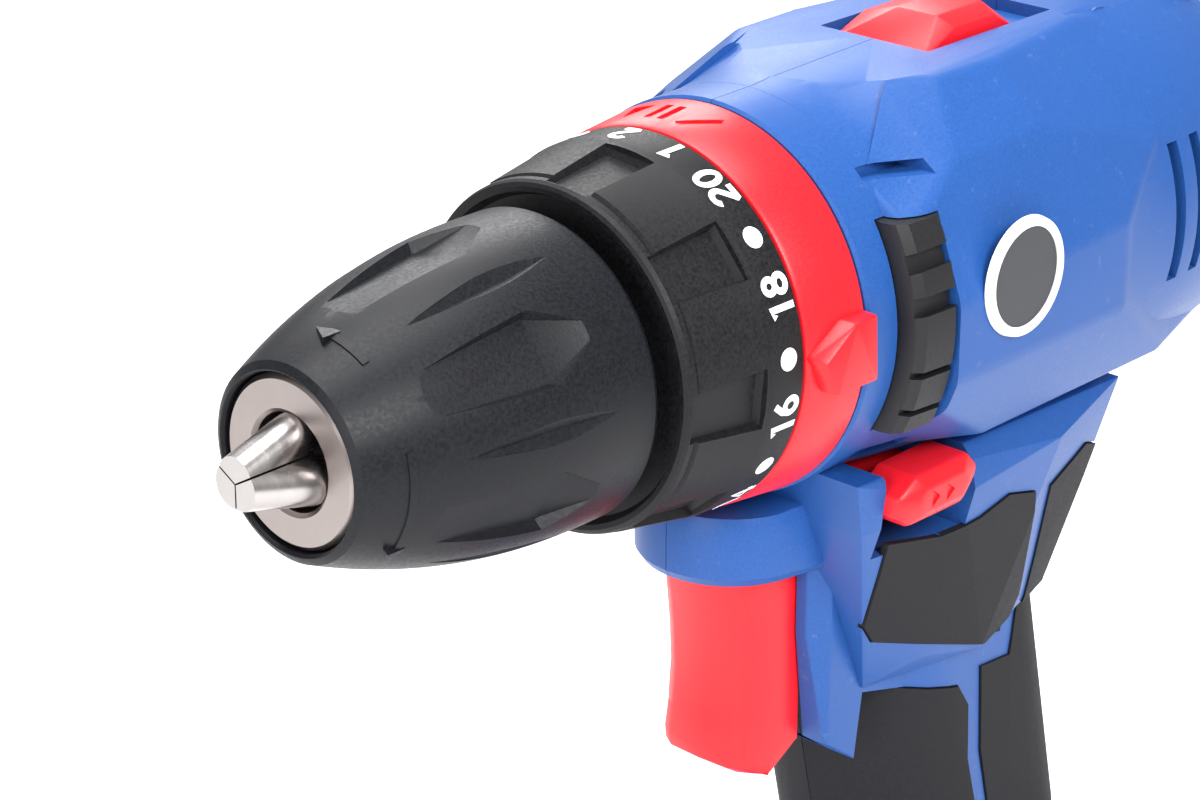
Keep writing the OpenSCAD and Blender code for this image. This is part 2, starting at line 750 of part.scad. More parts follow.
module planet(stage, k)
    color([0.7, 0.7, 0.68]) on_axis(stage_s[stage]) rotate([0, 0, 120 * k])
        translate([planet_at, 0, 0]) difference() {
            rotate([0, 0, 180 / sun_teeth]) linear_extrude(height = stage_w[stage])
                gear_outline(sun_teeth, pitch_r - 1.1 * gear_mod, pitch_r + 0.75 * gear_mod,
                             0.28, 0.1);
            translate([0, 0, -1]) cylinder(h = 12, r = planet_pin_r + fit_gap, $fn = 24);
        }

module planet_1a() planet(0, 0);
module planet_1b() planet(0, 1);
module planet_1c() planet(0, 2);
module planet_2a() planet(1, 0);
module planet_2b() planet(1, 1);
module planet_2c() planet(1, 2);
module planet_3a() planet(2, 0);
module planet_3b() planet(2, 1);
module planet_3c() planet(2, 2);

// Plate in front of a stage, with the three pins that its planets turn on
module carrier_plate(stage)
    union() {
        plate_s = stage_s[stage] + stage_w[stage] + plate_gap;
        on_axis(plate_s) cylinder(h = carrier_t, r = carrier_r);
        for (k = [0:2])
            on_axis(stage_s[stage] - 0.1) rotate([0, 0, 120 * k]) translate([planet_at, 0, 0])
                cylinder(h = stage_w[stage] + plate_gap + 0.2, r = planet_pin_r, $fn = 24);
    }

module carrier_1()
    color([0.62, 0.62, 0.6]) {
        carrier_plate(0);
        sun(stage_s[0] + stage_w[0] + plate_gap + carrier_t - 0.1,
            stage_s[1] + stage_w[1] - plate_gap);
    }

module carrier_2()
    color([0.62, 0.62, 0.6]) {
        carrier_plate(1);
        sun(stage_s[1] + stage_w[1] + plate_gap + carrier_t - 0.1,
            stage_s[2] + stage_w[2] - plate_gap);
    }

module spindle()
    color([0.62, 0.62, 0.6]) difference() {
        union() {
            carrier_plate(2);
            plate_s = stage_s[2] + stage_w[2] + plate_gap;
            on_axis(plate_s + carrier_t - 0.1)
                cylinder(h = spindle_front_s - plate_s - carrier_t + 0.1, r = spindle_r);
            on_axis(spindle_front_s - 0.1)
                cylinder(h = spindle_thread_len, r = spindle_thread_r);
        }
        on_axis(chuck_s0 + 2) cylinder(h = 20, r = 2.6);
    }

module spindle_bearings()
    color("silver") {
        tube(-1, 7, bearing_r, spindle_r + fit_gap);
        tube(collar_s1 - 8, collar_s1 - 0.5, bearing_r, spindle_r + fit_gap);
    }

// Spring-steel wire over the gear case, its bent ends in the groove of the middle ring
module shift_wire()
    color("silver") {
        wire_r = 0.7;
        arc_r = case_r + 1.2;
        wire_s = stage_s[1] + 3.5;
        on_axis(wire_s) rotate([0, 0, 90]) rotate_extrude(angle = 180) translate([arc_r, 0])
            circle(r = wire_r, $fn = 16);
        for (side = [-1, 1])
            at_spindle(wire_s, 0) rotate([-90 * side, 0, 0])
                translate([0, 0, ring_outer_r - 0.7])
                    cylinder(h = arc_r - ring_outer_r + 0.7, r = wire_r, $fn = 16);
    }

// ---- Motor ---------------------------------------------------------------------------

module motor_pinion()
    color([0.75, 0.7, 0.55]) difference() {
        sun(stage_s[0] - 0.3, stage_s[0] + stage_w[0] - 0.2);
        on_axis(stage_s[0] - 1) cylinder(h = 12, r = shaft_r, $fn = 24);
    }

module motor_can()
    color([0.6, 0.6, 0.61]) turned([
        [3, motor_s1 - 1.2], [3, motor_s1], [motor_r, motor_s1], [motor_r, motor_s0],
        [motor_r - 1.2, motor_s0], [motor_r - 1.2, motor_s1 - 1.2]]);

module motor_magnets()
    color([0.3, 0.3, 0.32]) intersection() {
        tube(motor_s0 + 8, motor_s1 - 6, motor_r - 1.2, motor_r - 3.6);
        at_spindle((motor_s0 + motor_s1) / 2, 0)
            for (side = [-1, 1])
                translate([0, side * motor_r, 0]) cube([60, 20, 26], center = true);
    }

module armature()
    color([0.55, 0.35, 0.2]) {
        on_axis(motor_s0 - 3) cylinder(h = stage_s[0] + stage_w[0] - 0.4 - motor_s0 + 3,
                                       r = shaft_r, $fn = 24);
        tube(motor_s0 + 11, motor_s1 - 9, motor_r - 4.2, shaft_r - 0.2);
        tube(motor_s0 + 7, motor_s1 - 6, motor_r - 7, shaft_r - 0.2);
        tube(motor_s0 + 1, motor_s0 + 7.2, 4.6, shaft_r - 0.2);
    }

module motor_end_bell()
    color([0.2, 0.2, 0.2]) difference() {
        union() {
            tube(motor_s0 - 2.5, motor_s0, motor_r - 0.6, shaft_r + 0.1);
            for (side = [-1, 1])
                at_spindle(motor_s0 + 2.9, 0) translate([0, side * 8.6, 0])
                    cube([6, 7.4, 5], center = true);
        }
    }

// ---- Battery pack --------------------------------------------------------------------

module cell_places()
    for (i = [-1:1])
        translate([-cell_len / 2 - 2, i * (2 * cell_r + 0.2), pack_h / 2 - 0.4])
            rotate([0, 90, 0]) children();

module pack_form(z0, z1)
    translate([0, 0, z0]) slab([pack_len, pack_w, z1 - z0], 8);

module cell_room()
    translate([-cell_len / 2 - 3, -3 * cell_r - 0.7, wall])
        cube([cell_len + 2, 6 * cell_r + 1.4, pack_h - 2 * wall + 0.4]);

// Pocket in the pack's front that the latch slides in
module latch_room() {
    translate([latch_x + 0.6, -10.4, 8]) cube([14, 20.8, 40]);
    translate([latch_x - 0.4, -hook_w / 2 - 0.4, pack_h - 7]) cube([14, hook_w + 0.8, 20]);
}

module battery_lower_case()
    color([0.13, 0.13, 0.14]) difference() {
        pack_form(0, pack_h / 2);
        cell_room();
        latch_room();
    }

module battery_upper_case()
    color([0.13, 0.13, 0.14]) difference() {
        union() {
            pack_form(pack_h / 2, pack_h);
            translate([-foot_len / 2 + 5, -rail_w / 2, pack_h - 1])
                cube([foot_len - 22, rail_w, foot_t - 0.6]);
        }
        cell_room();
        latch_room();
    }

module battery_cells()
    color([0.2, 0.5, 0.35]) cell_places() cylinder(h = cell_len, r = cell_r);

// Sprung latch: push face at the front and a hook that catches in the handle's foot
module battery_latch()
    color([0.93, 0.13, 0.17]) {
        translate([latch_x + 1, -10, pack_h / 2 + 1.4]) cube([8, 20, pack_h / 2 - 2]);
        translate([latch_x + 8, -10, pack_h / 2 + 1.4]) cube([2.6, 20, 8]);
        translate([latch_x, -hook_w / 2, pack_h - 3]) cube([3, hook_w, foot_t + 3]);
    }

left_housing();
right_housing();
left_grip();
right_grip();
left_bumper();
right_bumper();
left_badge();
right_badge();
housing_screws();
gear_selector();
direction_lever();
trigger();
trigger_spring();
switch_body();
switch_contacts();
heat_sink();
chuck_body();
chuck_sleeve();
jaw_1();
jaw_2();
jaw_3();
chuck_nut();
chuck_bearing();
chuck_rear_plate();
chuck_screw();
torque_collar();
collar_retainer();
mode_ring();
clutch_nut();
clutch_spring();
clutch_washer();
clutch_pins();
gear_case();
motor_plate();
ring_gear_1();
ring_gear_2();
ring_gear_3();
planet_1a();
planet_1b();
planet_1c();
planet_2a();
planet_2b();
planet_2c();
planet_3a();
planet_3b();
planet_3c();
carrier_1();
carrier_2();
spindle();
spindle_bearings();
shift_wire();
motor_pinion();
motor_can();
motor_magnets();
armature();
motor_end_bell();
battery_lower_case();
battery_upper_case();
battery_cells();
battery_latch();
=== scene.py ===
"""Cordless drill driver: the visible pieces, their finishes, and a pale studio.

Pieces are modelled in "drill space": millimetres, with x running forwards along the spindle
axis from the housing's front face, y to the drill's left and z up from the axis. DRILL turns
drill space into the frame's metres. Angles around the axis start at the left side and rise
towards the top.
"""
import json
import math

import bmesh
import bpy
from mathutils import Matrix, Vector


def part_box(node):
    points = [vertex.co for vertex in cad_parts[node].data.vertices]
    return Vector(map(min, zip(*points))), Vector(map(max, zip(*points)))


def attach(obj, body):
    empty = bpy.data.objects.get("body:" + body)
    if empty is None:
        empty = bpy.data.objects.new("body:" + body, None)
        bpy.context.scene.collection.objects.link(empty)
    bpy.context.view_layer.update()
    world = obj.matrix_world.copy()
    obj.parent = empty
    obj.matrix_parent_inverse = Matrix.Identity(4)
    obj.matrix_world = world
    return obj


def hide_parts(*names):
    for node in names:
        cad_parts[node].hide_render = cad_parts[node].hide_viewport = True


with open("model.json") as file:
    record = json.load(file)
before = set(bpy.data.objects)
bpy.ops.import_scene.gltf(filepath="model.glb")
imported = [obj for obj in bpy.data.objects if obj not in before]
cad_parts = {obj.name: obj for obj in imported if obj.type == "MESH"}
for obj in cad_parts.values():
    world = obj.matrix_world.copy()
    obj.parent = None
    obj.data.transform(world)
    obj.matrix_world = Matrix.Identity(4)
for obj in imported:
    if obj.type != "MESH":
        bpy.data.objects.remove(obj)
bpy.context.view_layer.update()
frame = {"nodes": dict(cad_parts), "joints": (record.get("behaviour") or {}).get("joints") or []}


NODES = frame["nodes"]
JOINTS = {j["name"]: j for j in frame["joints"]}
NOSE = Vector(JOINTS["spindle_spin"]["pos_m"])
DRILL = Matrix.Translation(NOSE) @ Matrix.Scale(0.001, 4)
TURN = 2 * math.pi
FLOOR_Z = -NOSE.z * 1000          # height of the floor in drill space


def drill_box(node):
    """Lowest and highest corner of a CAD node in drill space."""
    return [(corner - NOSE) * 1000 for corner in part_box(node)]


# ---- Mesh tools ----------------------------------------------------------------------

def cleaned(bm, distance):
    """Joins vertices that coincide and drops loose edges."""
    bmesh.ops.remove_doubles(bm, verts=bm.verts, dist=distance)
    loose = [e for e in bm.edges if not e.link_faces]
    bmesh.ops.delete(bm, geom=loose, context="EDGES")
    return bm


def join_up(bm):
    """Cleans a solid without inner rooms and turns every face outwards."""
    cleaned(bm, 0.001)
    bmesh.ops.recalc_face_normals(bm, faces=bm.faces)
    return bm


def turned(outline, steps=128):
    """Solid of revolution about the spindle axis from a closed outline of (x, radius)."""
    bm = bmesh.new()
    verts = [bm.verts.new((x, max(r, 0.0), 0)) for x, r in outline]
    edges = [bm.edges.new((a, b)) for a, b in zip(verts, verts[1:] + verts[:1])]
    bmesh.ops.spin(bm, geom=verts + edges, cent=(0, 0, 0), axis=(1, 0, 0), angle=TURN,
                   steps=steps, use_merge=True)
    bmesh.ops.dissolve_degenerate(bm, dist=0.0005, edges=bm.edges)
    return join_up(bm)


def soften(bm, width, segments=2):
    bmesh.ops.bevel(bm, geom=list(bm.edges), offset=width, offset_type="OFFSET",
                    segments=segments, profile=0.5, affect="EDGES", material=-1,
                    clamp_overlap=True)
    return bm


def trimmed(bm, cuts):
    """Cuts a closed convex shape by planes, given as (point, outward normal)."""
    for point, normal in cuts:
        cut = bmesh.ops.bisect_plane(bm, geom=bm.verts[:] + bm.edges[:] + bm.faces[:],
                                     plane_co=point, plane_no=normal, clear_outer=True)
        edges = [e for e in cut["geom_cut"] if isinstance(e, bmesh.types.BMEdge)]
        if edges:
            bmesh.ops.contextual_create(bm, geom=edges)
    return join_up(bm)


def block(low, high, cuts=(), width=0.0, segments=2):
    """Box between two corners, trimmed by planes, with its edges rounded."""
    low, high = Vector(low), Vector(high)
    bm = bmesh.new()
    bmesh.ops.create_cube(bm, size=1)
    bmesh.ops.scale(bm, vec=high - low, verts=bm.verts)
    bmesh.ops.translate(bm, vec=(low + high) / 2, verts=bm.verts)
    trimmed(bm, cuts)
    return soften(bm, width, segments) if width else bm


def hull(points, width=0.0, segments=2):
    bm = bmesh.new()
    for p in points:
        bm.verts.new(p)
    done = bmesh.ops.convex_hull(bm, input=bm.verts)
    spare = [g for g in done["geom_interior"] + done["geom_unused"]
             if isinstance(g, bmesh.types.BMVert)]
    bmesh.ops.delete(bm, geom=list(set(spare)), context="VERTS")
    bmesh.ops.dissolve_limit(bm, angle_limit=0.01, verts=bm.verts, edges=bm.edges)
    join_up(bm)
    return soften(bm, width, segments) if width else bm


def ring_points(centre, radius, count=32):
    """Points of a level circle."""
    centre = Vector(centre)
    return [centre + Vector((math.cos(TURN * i / count) * radius,
                             math.sin(TURN * i / count) * radius, 0)) for i in range(count)]


def side_prism(outline, near, far):
    """Outline of (x, z) extruded sideways between two distances from the middle plane."""
    bm = bmesh.new()
    face = bm.faces.new([bm.verts.new((x, near, z)) for x, z in outline])
    moved = bmesh.ops.extrude_face_region(bm, geom=[face])
    verts = [v for v in moved["geom"] if isinstance(v, bmesh.types.BMVert)]
    bmesh.ops.translate(bm, vec=(0, far - near, 0), verts=verts)
    return join_up(bm)


def as_object(bm, name="work"):
    mesh = bpy.data.meshes.new(name)
    bm.to_mesh(mesh)
    bm.free()
    obj = bpy.data.objects.new(name, mesh)
    bpy.context.scene.collection.objects.link(obj)
    return obj


def combined(bm, others, operation):
    """Union, difference or intersection of closed meshes, taken one at a time."""
    for other in others:
        base, helper = as_object(bm), as_object(other)
        step = base.modifiers.new("step", "BOOLEAN")
        step.operation = operation
        step.solver = "EXACT"
        step.object = helper
        depsgraph = bpy.context.evaluated_depsgraph_get()
        mesh = bpy.data.meshes.new_from_object(base.evaluated_get(depsgraph))
        bm = bmesh.new()
        bm.from_mesh(mesh)
        bpy.data.meshes.remove(mesh)
        for obj in (base, helper):
            old = obj.data
            bpy.data.objects.remove(obj)
            bpy.data.meshes.remove(old)
        bmesh.ops.dissolve_degenerate(bm, dist=0.002, edges=bm.edges)
        cleaned(bm, 0.002)
    return bm


def united(*shapes):
    return combined(shapes[0], shapes[1:], "UNION")


def cut_away(bm, *cutters):
    return combined(bm, cutters, "DIFFERENCE")


def common(bm, *others):
    return combined(bm, others, "INTERSECT")


def turned_about(bm, angle, axis="X"):
    bmesh.ops.rotate(bm, cent=(0, 0, 0), matrix=Matrix.Rotation(angle, 3, axis), verts=bm.verts)
    return bm


def around(angle_deg):
    """Rotation that takes the left side to an angle around the spindle axis."""
    return math.radians(angle_deg)


def mirrored(bm):
    bmesh.ops.scale(bm, vec=(1, -1, 1), verts=bm.verts)
    bmesh.ops.reverse_faces(bm, faces=bm.faces)
    return bm


def piece(name, bm, material, body, nodes=(), smooth=35, round_edges=0.0, steps=2):
    """Finishes a drill-space bmesh into an object that rides on a body."""
    bm.transform(DRILL)
    bmesh.ops.recalc_face_normals(bm, faces=bm.faces)
    obj = as_object(bm, name)
    obj.data.polygons.foreach_set("use_smooth", [True] * len(obj.data.polygons))
    obj.data.set_sharp_from_angle(angle=math.radians(smooth))
    obj.data.materials.append(material)
    if round_edges:
        bevel = obj.modifiers.new("edges", "BEVEL")
        bevel.width = round_edges * 0.001
        bevel.segments = steps
        bevel.limit_method = "ANGLE"
        bevel.angle_limit = math.radians(32)
        bevel.harden_normals = False
    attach(obj, body)
    if nodes:
        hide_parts(*nodes)
    return obj


# ---- Materials -----------------------------------------------------------------------

def node_group(name, inputs, outputs):
    group = bpy.data.node_groups.new(name, "ShaderNodeTree")
    for label, kind, value in inputs:
        socket = group.interface.new_socket(name=label, in_out="INPUT", socket_type=kind)
        socket.default_value = value
    for label, kind in outputs:
        group.interface.new_socket(name=label, in_out="OUTPUT", socket_type=kind)
    nodes = group.nodes
    return group, nodes.new("NodeGroupInput"), nodes.new("NodeGroupOutput")


def add(tree, kind, **values):
    node = tree.nodes.new(kind)
    for key, value in values.items():
        setattr(node, key, value)
    return node


def moulded_grain_group():
    """Spark-eroded grain of a moulded plastic, with broad shade changes and pale scuffs."""
    group, given, result = node_group(
        "moulded grain",
        [("Vector", "NodeSocketVector", (0, 0, 0)), ("Grain Scale", "NodeSocketFloat", 2500),
         ("Speckle", "NodeSocketFloat", 0.1), ("Scuffs", "NodeSocketFloat", 0.1),
         ("Color", "NodeSocketColor", (0.5, 0.5, 0.5, 1)),
         ("Rough", "NodeSocketFloat", 0.5), ("Rough Spread", "NodeSocketFloat", 0.1)],
        [("Color", "NodeSocketColor"), ("Roughness", "NodeSocketFloat"),
         ("Height", "NodeSocketFloat")])
    link = group.links.new
    grain = add(group, "ShaderNodeTexNoise")
    grain.inputs["Detail"].default_value = 2
    grain.inputs["Roughness"].default_value = 0.6
    link(given.outputs["Vector"], grain.inputs["Vector"])
    link(given.outputs["Grain Scale"], grain.inputs["Scale"])
    broad = add(group, "ShaderNodeTexNoise")
    broad.inputs["Scale"].default_value = 45
    broad.inputs["Detail"].default_value = 4
    link(given.outputs["Vector"], broad.inputs["Vector"])
    scuff = add(group, "ShaderNodeTexNoise")
    scuff.inputs["Scale"].default_value = 420
    scuff.inputs["Detail"].default_value = 5
    scuff.inputs["Roughness"].default_value = 0.7
    link(given.outputs["Vector"], scuff.inputs["Vector"])
    scuff_mask = add(group, "ShaderNodeMapRange")
    scuff_mask.inputs["From Min"].default_value = 0.62
    scuff_mask.inputs["From Max"].default_value = 0.8
    link(scuff.outputs["Fac"], scuff_mask.inputs["Value"])
    scuff_amount = add(group, "ShaderNodeMath", operation="MULTIPLY")
    link(scuff_mask.outputs["Result"], scuff_amount.inputs[0])
    link(given.outputs["Scuffs"], scuff_amount.inputs[1])
    # Light and dark specks of the grain, then the broad shade, then the scuffs
    specks = add(group, "ShaderNodeMapRange")
    specks.inputs["From Min"].default_value = 0.3
    specks.inputs["From Max"].default_value = 0.7
    specks.inputs["To Min"].default_value = -1
    specks.inputs["To Max"].default_value = 1
    link(grain.outputs["Fac"], specks.inputs["Value"])
    speck_amount = add(group, "ShaderNodeMath", operation="MULTIPLY")
    link(specks.outputs["Result"], speck_amount.inputs[0])
    link(given.outputs["Speckle"], speck_amount.inputs[1])
    shade = add(group, "ShaderNodeMapRange")
    shade.inputs["To Min"].default_value = 0.93
    shade.inputs["To Max"].default_value = 1.07
    link(broad.outputs["Fac"], shade.inputs["Value"])
    value = add(group, "ShaderNodeMath", operation="ADD")
    link(shade.outputs["Result"], value.inputs[0])
    link(speck_amount.outputs[0], value.inputs[1])
    tone = add(group, "ShaderNodeHueSaturation")
    link(given.outputs["Color"], tone.inputs["Color"])
    link(value.outputs[0], tone.inputs["Value"])
    pale = add(group, "ShaderNodeMix", data_type="RGBA")
    pale.inputs["B"].default_value = (0.62, 0.64, 0.68, 1)
    link(scuff_amount.outputs[0], pale.inputs["Factor"])
    link(tone.outputs["Color"], pale.inputs["A"])
    link(pale.outputs["Result"], result.inputs["Color"])
    spread = add(group, "ShaderNodeMath", operation="MULTIPLY")
    link(specks.outputs["Result"], spread.inputs[0])
    link(given.outputs["Rough Spread"], spread.inputs[1])
    rough = add(group, "ShaderNodeMath", operation="ADD", use_clamp=True)
    link(given.outputs["Rough"], rough.inputs[0])
    link(spread.outputs[0], rough.inputs[1])
    link(rough.outputs[0], result.inputs["Roughness"])
    link(grain.outputs["Fac"], result.inputs["Height"])
    return group


GRAIN = moulded_grain_group()


def new_material(name):
    mat = bpy.data.materials.new(name)
    mat.use_nodes = True
    tree = mat.node_tree
    shader = tree.nodes["Principled BSDF"]
    where = tree.nodes.new("ShaderNodeTexCoord")
    return mat, tree, shader, where


def moulded(name, color, rough=0.45, grain=2600, speckle=0.12, scuffs=0.0, bump=0.12,
            spread=0.06, specular=0.5):
    mat, tree, shader, where = new_material(name)
    group = add(tree, "ShaderNodeGroup", node_tree=GRAIN)
    group.inputs["Grain Scale"].default_value = grain
    group.inputs["Speckle"].default_value = speckle
    group.inputs["Scuffs"].default_value = scuffs
    group.inputs["Color"].default_value = (*color, 1)
    group.inputs["Rough"].default_value = rough
    group.inputs["Rough Spread"].default_value = spread
    bump_node = add(tree, "ShaderNodeBump")
    bump_node.inputs["Strength"].default_value = bump
    bump_node.inputs["Distance"].default_value = 0.0001
    link = tree.links.new
    link(where.outputs["Object"], group.inputs["Vector"])
    link(group.outputs["Color"], shader.inputs["Base Color"])
    link(group.outputs["Roughness"], shader.inputs["Roughness"])
    link(group.outputs["Height"], bump_node.inputs["Height"])
    link(bump_node.outputs["Normal"], shader.inputs["Normal"])
    shader.inputs["Specular IOR Level"].default_value = specular
    return mat


def turned_steel(name, color, rough=0.28, bump=0.08):
    """Steel with fine rings left by turning about the spindle axis."""
    mat, tree, shader, where = new_material(name)
    link = tree.links.new
    centred = add(tree, "ShaderNodeMapping")
    centred.inputs["Location"].default_value = -NOSE
    split = add(tree, "ShaderNodeSeparateXYZ")
    link(where.outputs["Object"], centred.inputs["Vector"])
    link(centred.outputs["Vector"], split.inputs["Vector"])
    y2 = add(tree, "ShaderNodeMath", operation="MULTIPLY")
    z2 = add(tree, "ShaderNodeMath", operation="MULTIPLY")
    for node, axis in ((y2, "Y"), (z2, "Z")):
        link(split.outputs[axis], node.inputs[0])
        link(split.outputs[axis], node.inputs[1])
    total = add(tree, "ShaderNodeMath", operation="ADD")
    link(y2.outputs[0], total.inputs[0])
    link(z2.outputs[0], total.inputs[1])
    radius = add(tree, "ShaderNodeMath", operation="SQRT")
    link(total.outputs[0], radius.inputs[0])
    ringed = add(tree, "ShaderNodeCombineXYZ")
    link(radius.outputs[0], ringed.inputs["X"])
    link(split.outputs["X"], ringed.inputs["Y"])
    fine = add(tree, "ShaderNodeTexNoise")
    fine.inputs["Scale"].default_value = 900
    fine.inputs["Detail"].default_value = 3
    link(ringed.outputs["Vector"], fine.inputs["Vector"])
    cloud = add(tree, "ShaderNodeTexNoise")
    cloud.inputs["Scale"].default_value = 260
    cloud.inputs["Detail"].default_value = 4
    link(where.outputs["Object"], cloud.inputs["Vector"])
    tone = add(tree, "ShaderNodeMix", data_type="RGBA")
    tone.inputs["A"].default_value = (*[c * 0.86 for c in color], 1)
    tone.inputs["B"].default_value = (*color, 1)
    link(cloud.outputs["Fac"], tone.inputs["Factor"])
    link(tone.outputs["Result"], shader.inputs["Base Color"])
    spread = add(tree, "ShaderNodeMapRange")
    spread.inputs["To Min"].default_value = rough - 0.07
    spread.inputs["To Max"].default_value = rough + 0.09
    link(fine.outputs["Fac"], spread.inputs["Value"])
    link(spread.outputs["Result"], shader.inputs["Roughness"])
    bump_node = add(tree, "ShaderNodeBump")
    bump_node.inputs["Strength"].default_value = bump
    bump_node.inputs["Distance"].default_value = 0.00005
    link(fine.outputs["Fac"], bump_node.inputs["Height"])
    link(bump_node.outputs["Normal"], shader.inputs["Normal"])
    shader.inputs["Metallic"].default_value = 1
    return mat


BLUE = moulded("blue nylon", (0.016, 0.078, 0.29), rough=0.40, speckle=0.10, scuffs=0.10,
               bump=0.10, specular=0.3)
RED = moulded("red nylon", (0.78, 0.010, 0.018), rough=0.36, speckle=0.05, bump=0.05,
              specular=0.35)
SLEEVE_BLACK = moulded("sleeve black", (0.0075, 0.008, 0.0105), rough=0.44, speckle=0.35,
                       grain=2100, bump=0.16, spread=0.08, specular=0.2)
COLLAR_BLACK = moulded("collar black", (0.009, 0.009, 0.0105), rough=0.5, speckle=0.45,
                       grain=2100, bump=0.16, spread=0.1, specular=0.2)
CASE_BLACK = moulded("pack black", (0.02, 0.021, 0.023), rough=0.5, speckle=0.3, bump=0.16)
RUBBER = moulded("grip rubber", (0.014, 0.014, 0.0165), rough=0.7, speckle=0.2, grain=1700,
                 bump=0.2, specular=0.18)
STRIP_RUBBER = moulded("strip rubber", (0.008, 0.008, 0.0095), rough=0.55, speckle=0.2,
                       bump=0.12, specular=0.35)
WHITE_INK = moulded("white ink", (0.86, 0.87, 0.88), rough=0.5, speckle=0.03, bump=0.02)
DARK_GAP = moulded("badge face", (0.02, 0.022, 0.028), rough=0.35, speckle=0.1, bump=0.03)
BRIGHT_STEEL = turned_steel("nickel plated steel", (0.36, 0.315, 0.30), rough=0.3)
JAW_STEEL = turned_steel("jaw steel", (0.5, 0.47, 0.46), rough=0.24, bump=0.05)
PLAIN_STEEL = turned_steel("plain steel", (0.5, 0.5, 0.5), rough=0.36)
DARK_STEEL = turned_steel("blackened steel", (0.06, 0.06, 0.065), rough=0.42)
BRASS = turned_steel("contact brass", (0.7, 0.5, 0.22), rough=0.34)
COPPER = turned_steel("winding copper", (0.6, 0.25, 0.1), rough=0.4)
CELL_GREEN = moulded("cell wrap", (0.05, 0.3, 0.14), rough=0.3, speckle=0.02, bump=0.02)


# ---- Chuck ---------------------------------------------------------------------------

SLEEVE_BACK, SLEEVE_FRONT = (corner.x for corner in drill_box("chuck_sleeve"))
SLEEVE_R = drill_box("chuck_sleeve")[1].y
COLLAR_BACK, COLLAR_FRONT = (corner.x for corner in drill_box("torque_collar"))
COLLAR_R = drill_box("torque_collar")[1].y
RING_FRONT = COLLAR_BACK - 0.3
RING_R = 27.0
NOSE_R = 11.0


def sleeve_radius(x):
    """Outer radius of the bullet-shaped sleeve: full at the back, curving in to the nose."""
    t = (x - SLEEVE_BACK) / (SLEEVE_FRONT - SLEEVE_BACK)
    return SLEEVE_R - 0.1 - 8.3 * (max(t - 0.12, 0) / 0.88) ** 2.05


def scoop():
    """Cutter for one finger scoop, at the left side of the sleeve."""
    lead, deep, back = 66.0, 48.2, 41.0
    lead_r, deep_r, back_r = sleeve_radius(lead) + 0.1, 18.15, SLEEVE_R + 0.1
    return block((back - 4, 8, -9), (lead + 6, SLEEVE_R + 6, 9), [
        ((deep, deep_r, 0), (lead_r - deep_r, -(lead - deep), 0)),
        ((deep, deep_r, 0), (-(back_r - deep_r), -(deep - back), 0)),
        ((deep, deep_r, 4.3), (0.03, -0.5, 1)),
        ((deep, deep_r, -4.3), (0.03, -0.5, -1)),
        ((back - 0.4, back_r, 0.6), (-1, -0.9, 1.5)),
        ((back - 0.4, back_r, -0.6), (-1, -0.9, -1.5)),
    ])


def leaf():
    """Cutter for one slim leaf-shaped groove between two scoops."""
    back, middle, lead = 38.5, 47.5, 64.0
    out = 0.25
    points = [(back, sleeve_radius(back) + out, 0), (lead, sleeve_radius(lead) + out, 0),
              (middle, sleeve_radius(middle) - 0.9, 0)]
    for side in (-1, 1):
        points.append((middle, sleeve_radius(middle) + out, side * 1.9))
        points.append((middle, sleeve_radius(middle) + 3, side * 1.9))
    points += [(back, sleeve_radius(back) + 3, 0), (lead, sleeve_radius(lead) + 3, 0)]
    return hull(points)


def sweep(outline, start, end, steps=24):
    """Solid swept round the spindle axis between two angles from an outline of (x, radius)."""
    bm = bmesh.new()
    face = bm.faces.new([bm.verts.new((x, r, 0)) for x, r in outline])
    bmesh.ops.rotate(bm, cent=(0, 0, 0), matrix=Matrix.Rotation(around(start), 3, "X"),
                     verts=bm.verts)
    bmesh.ops.spin(bm, geom=[face], cent=(0, 0, 0), axis=(1, 0, 0),
                   angle=around(end - start), steps=steps)
    return join_up(bm)


def turn_arrow(start, end, station=69.2, height=0.35):
    """Raised arc with an arrowhead, showing which way to turn the sleeve."""
    r = sleeve_radius(station)
    arc = sweep([(station - 0.5, r - 1), (station - 0.5, r + height), (station + 0.5, r + height - 0.3),
                 (station + 0.5, r - 1)], start, end)
    sign = 1 if end > start else -1
    tip = hull([(x, (r + up) * math.cos(around(end + sign * a)),
                 (r + up) * math.sin(around(end + sign * a)))
                for x, a in ((station - 1.7, 0), (station + 1.7, 0), (station, 11))
                for up in (-1.5, height + 0.1)])
    return [arc, tip]


def chuck_sleeve():
    count = 22
    start, length = SLEEVE_BACK + 1.0, SLEEVE_FRONT - SLEEVE_BACK - 1.6
    curve = [start + length * i / count for i in range(count + 1)]
    tip = sleeve_radius(SLEEVE_FRONT)
    outline = ([(SLEEVE_BACK, 17.95), (SLEEVE_BACK, SLEEVE_R - 1.0),
                (SLEEVE_BACK + 0.3, SLEEVE_R - 0.45)]
               + [(x, sleeve_radius(x)) for x in curve]
               + [(SLEEVE_FRONT - 0.15, tip - 0.35), (SLEEVE_FRONT, tip - 0.75),
                  (SLEEVE_FRONT - 0.1, NOSE_R + 0.5), (SLEEVE_FRONT - 0.5, NOSE_R + 0.3),
                  (SLEEVE_FRONT - 9, NOSE_R + 0.3), (55.1, 12.2), (55.0, 16.55), (49.25, 16.55),
                  (49.2, 17.95)])
    cutters = []
    for i in range(6):
        cutters.append(turned_about(scoop(), around(35 + 60 * i)))
        cutters.append(turned_about(leaf(), around(5 + 60 * i)))
    bm = cut_away(turned(outline, 144), *cutters)
    bm = united(bm, *turn_arrow(60, 82), *turn_arrow(15, -38), *turn_arrow(-120, -160),
                *turn_arrow(150, 190))
    return piece("sleeve_shell", bm, SLEEVE_BLACK, "sleeve", ["chuck_sleeve"],
                 smooth=16)


# ---- Collar and mode ring ------------------------------------------------------------

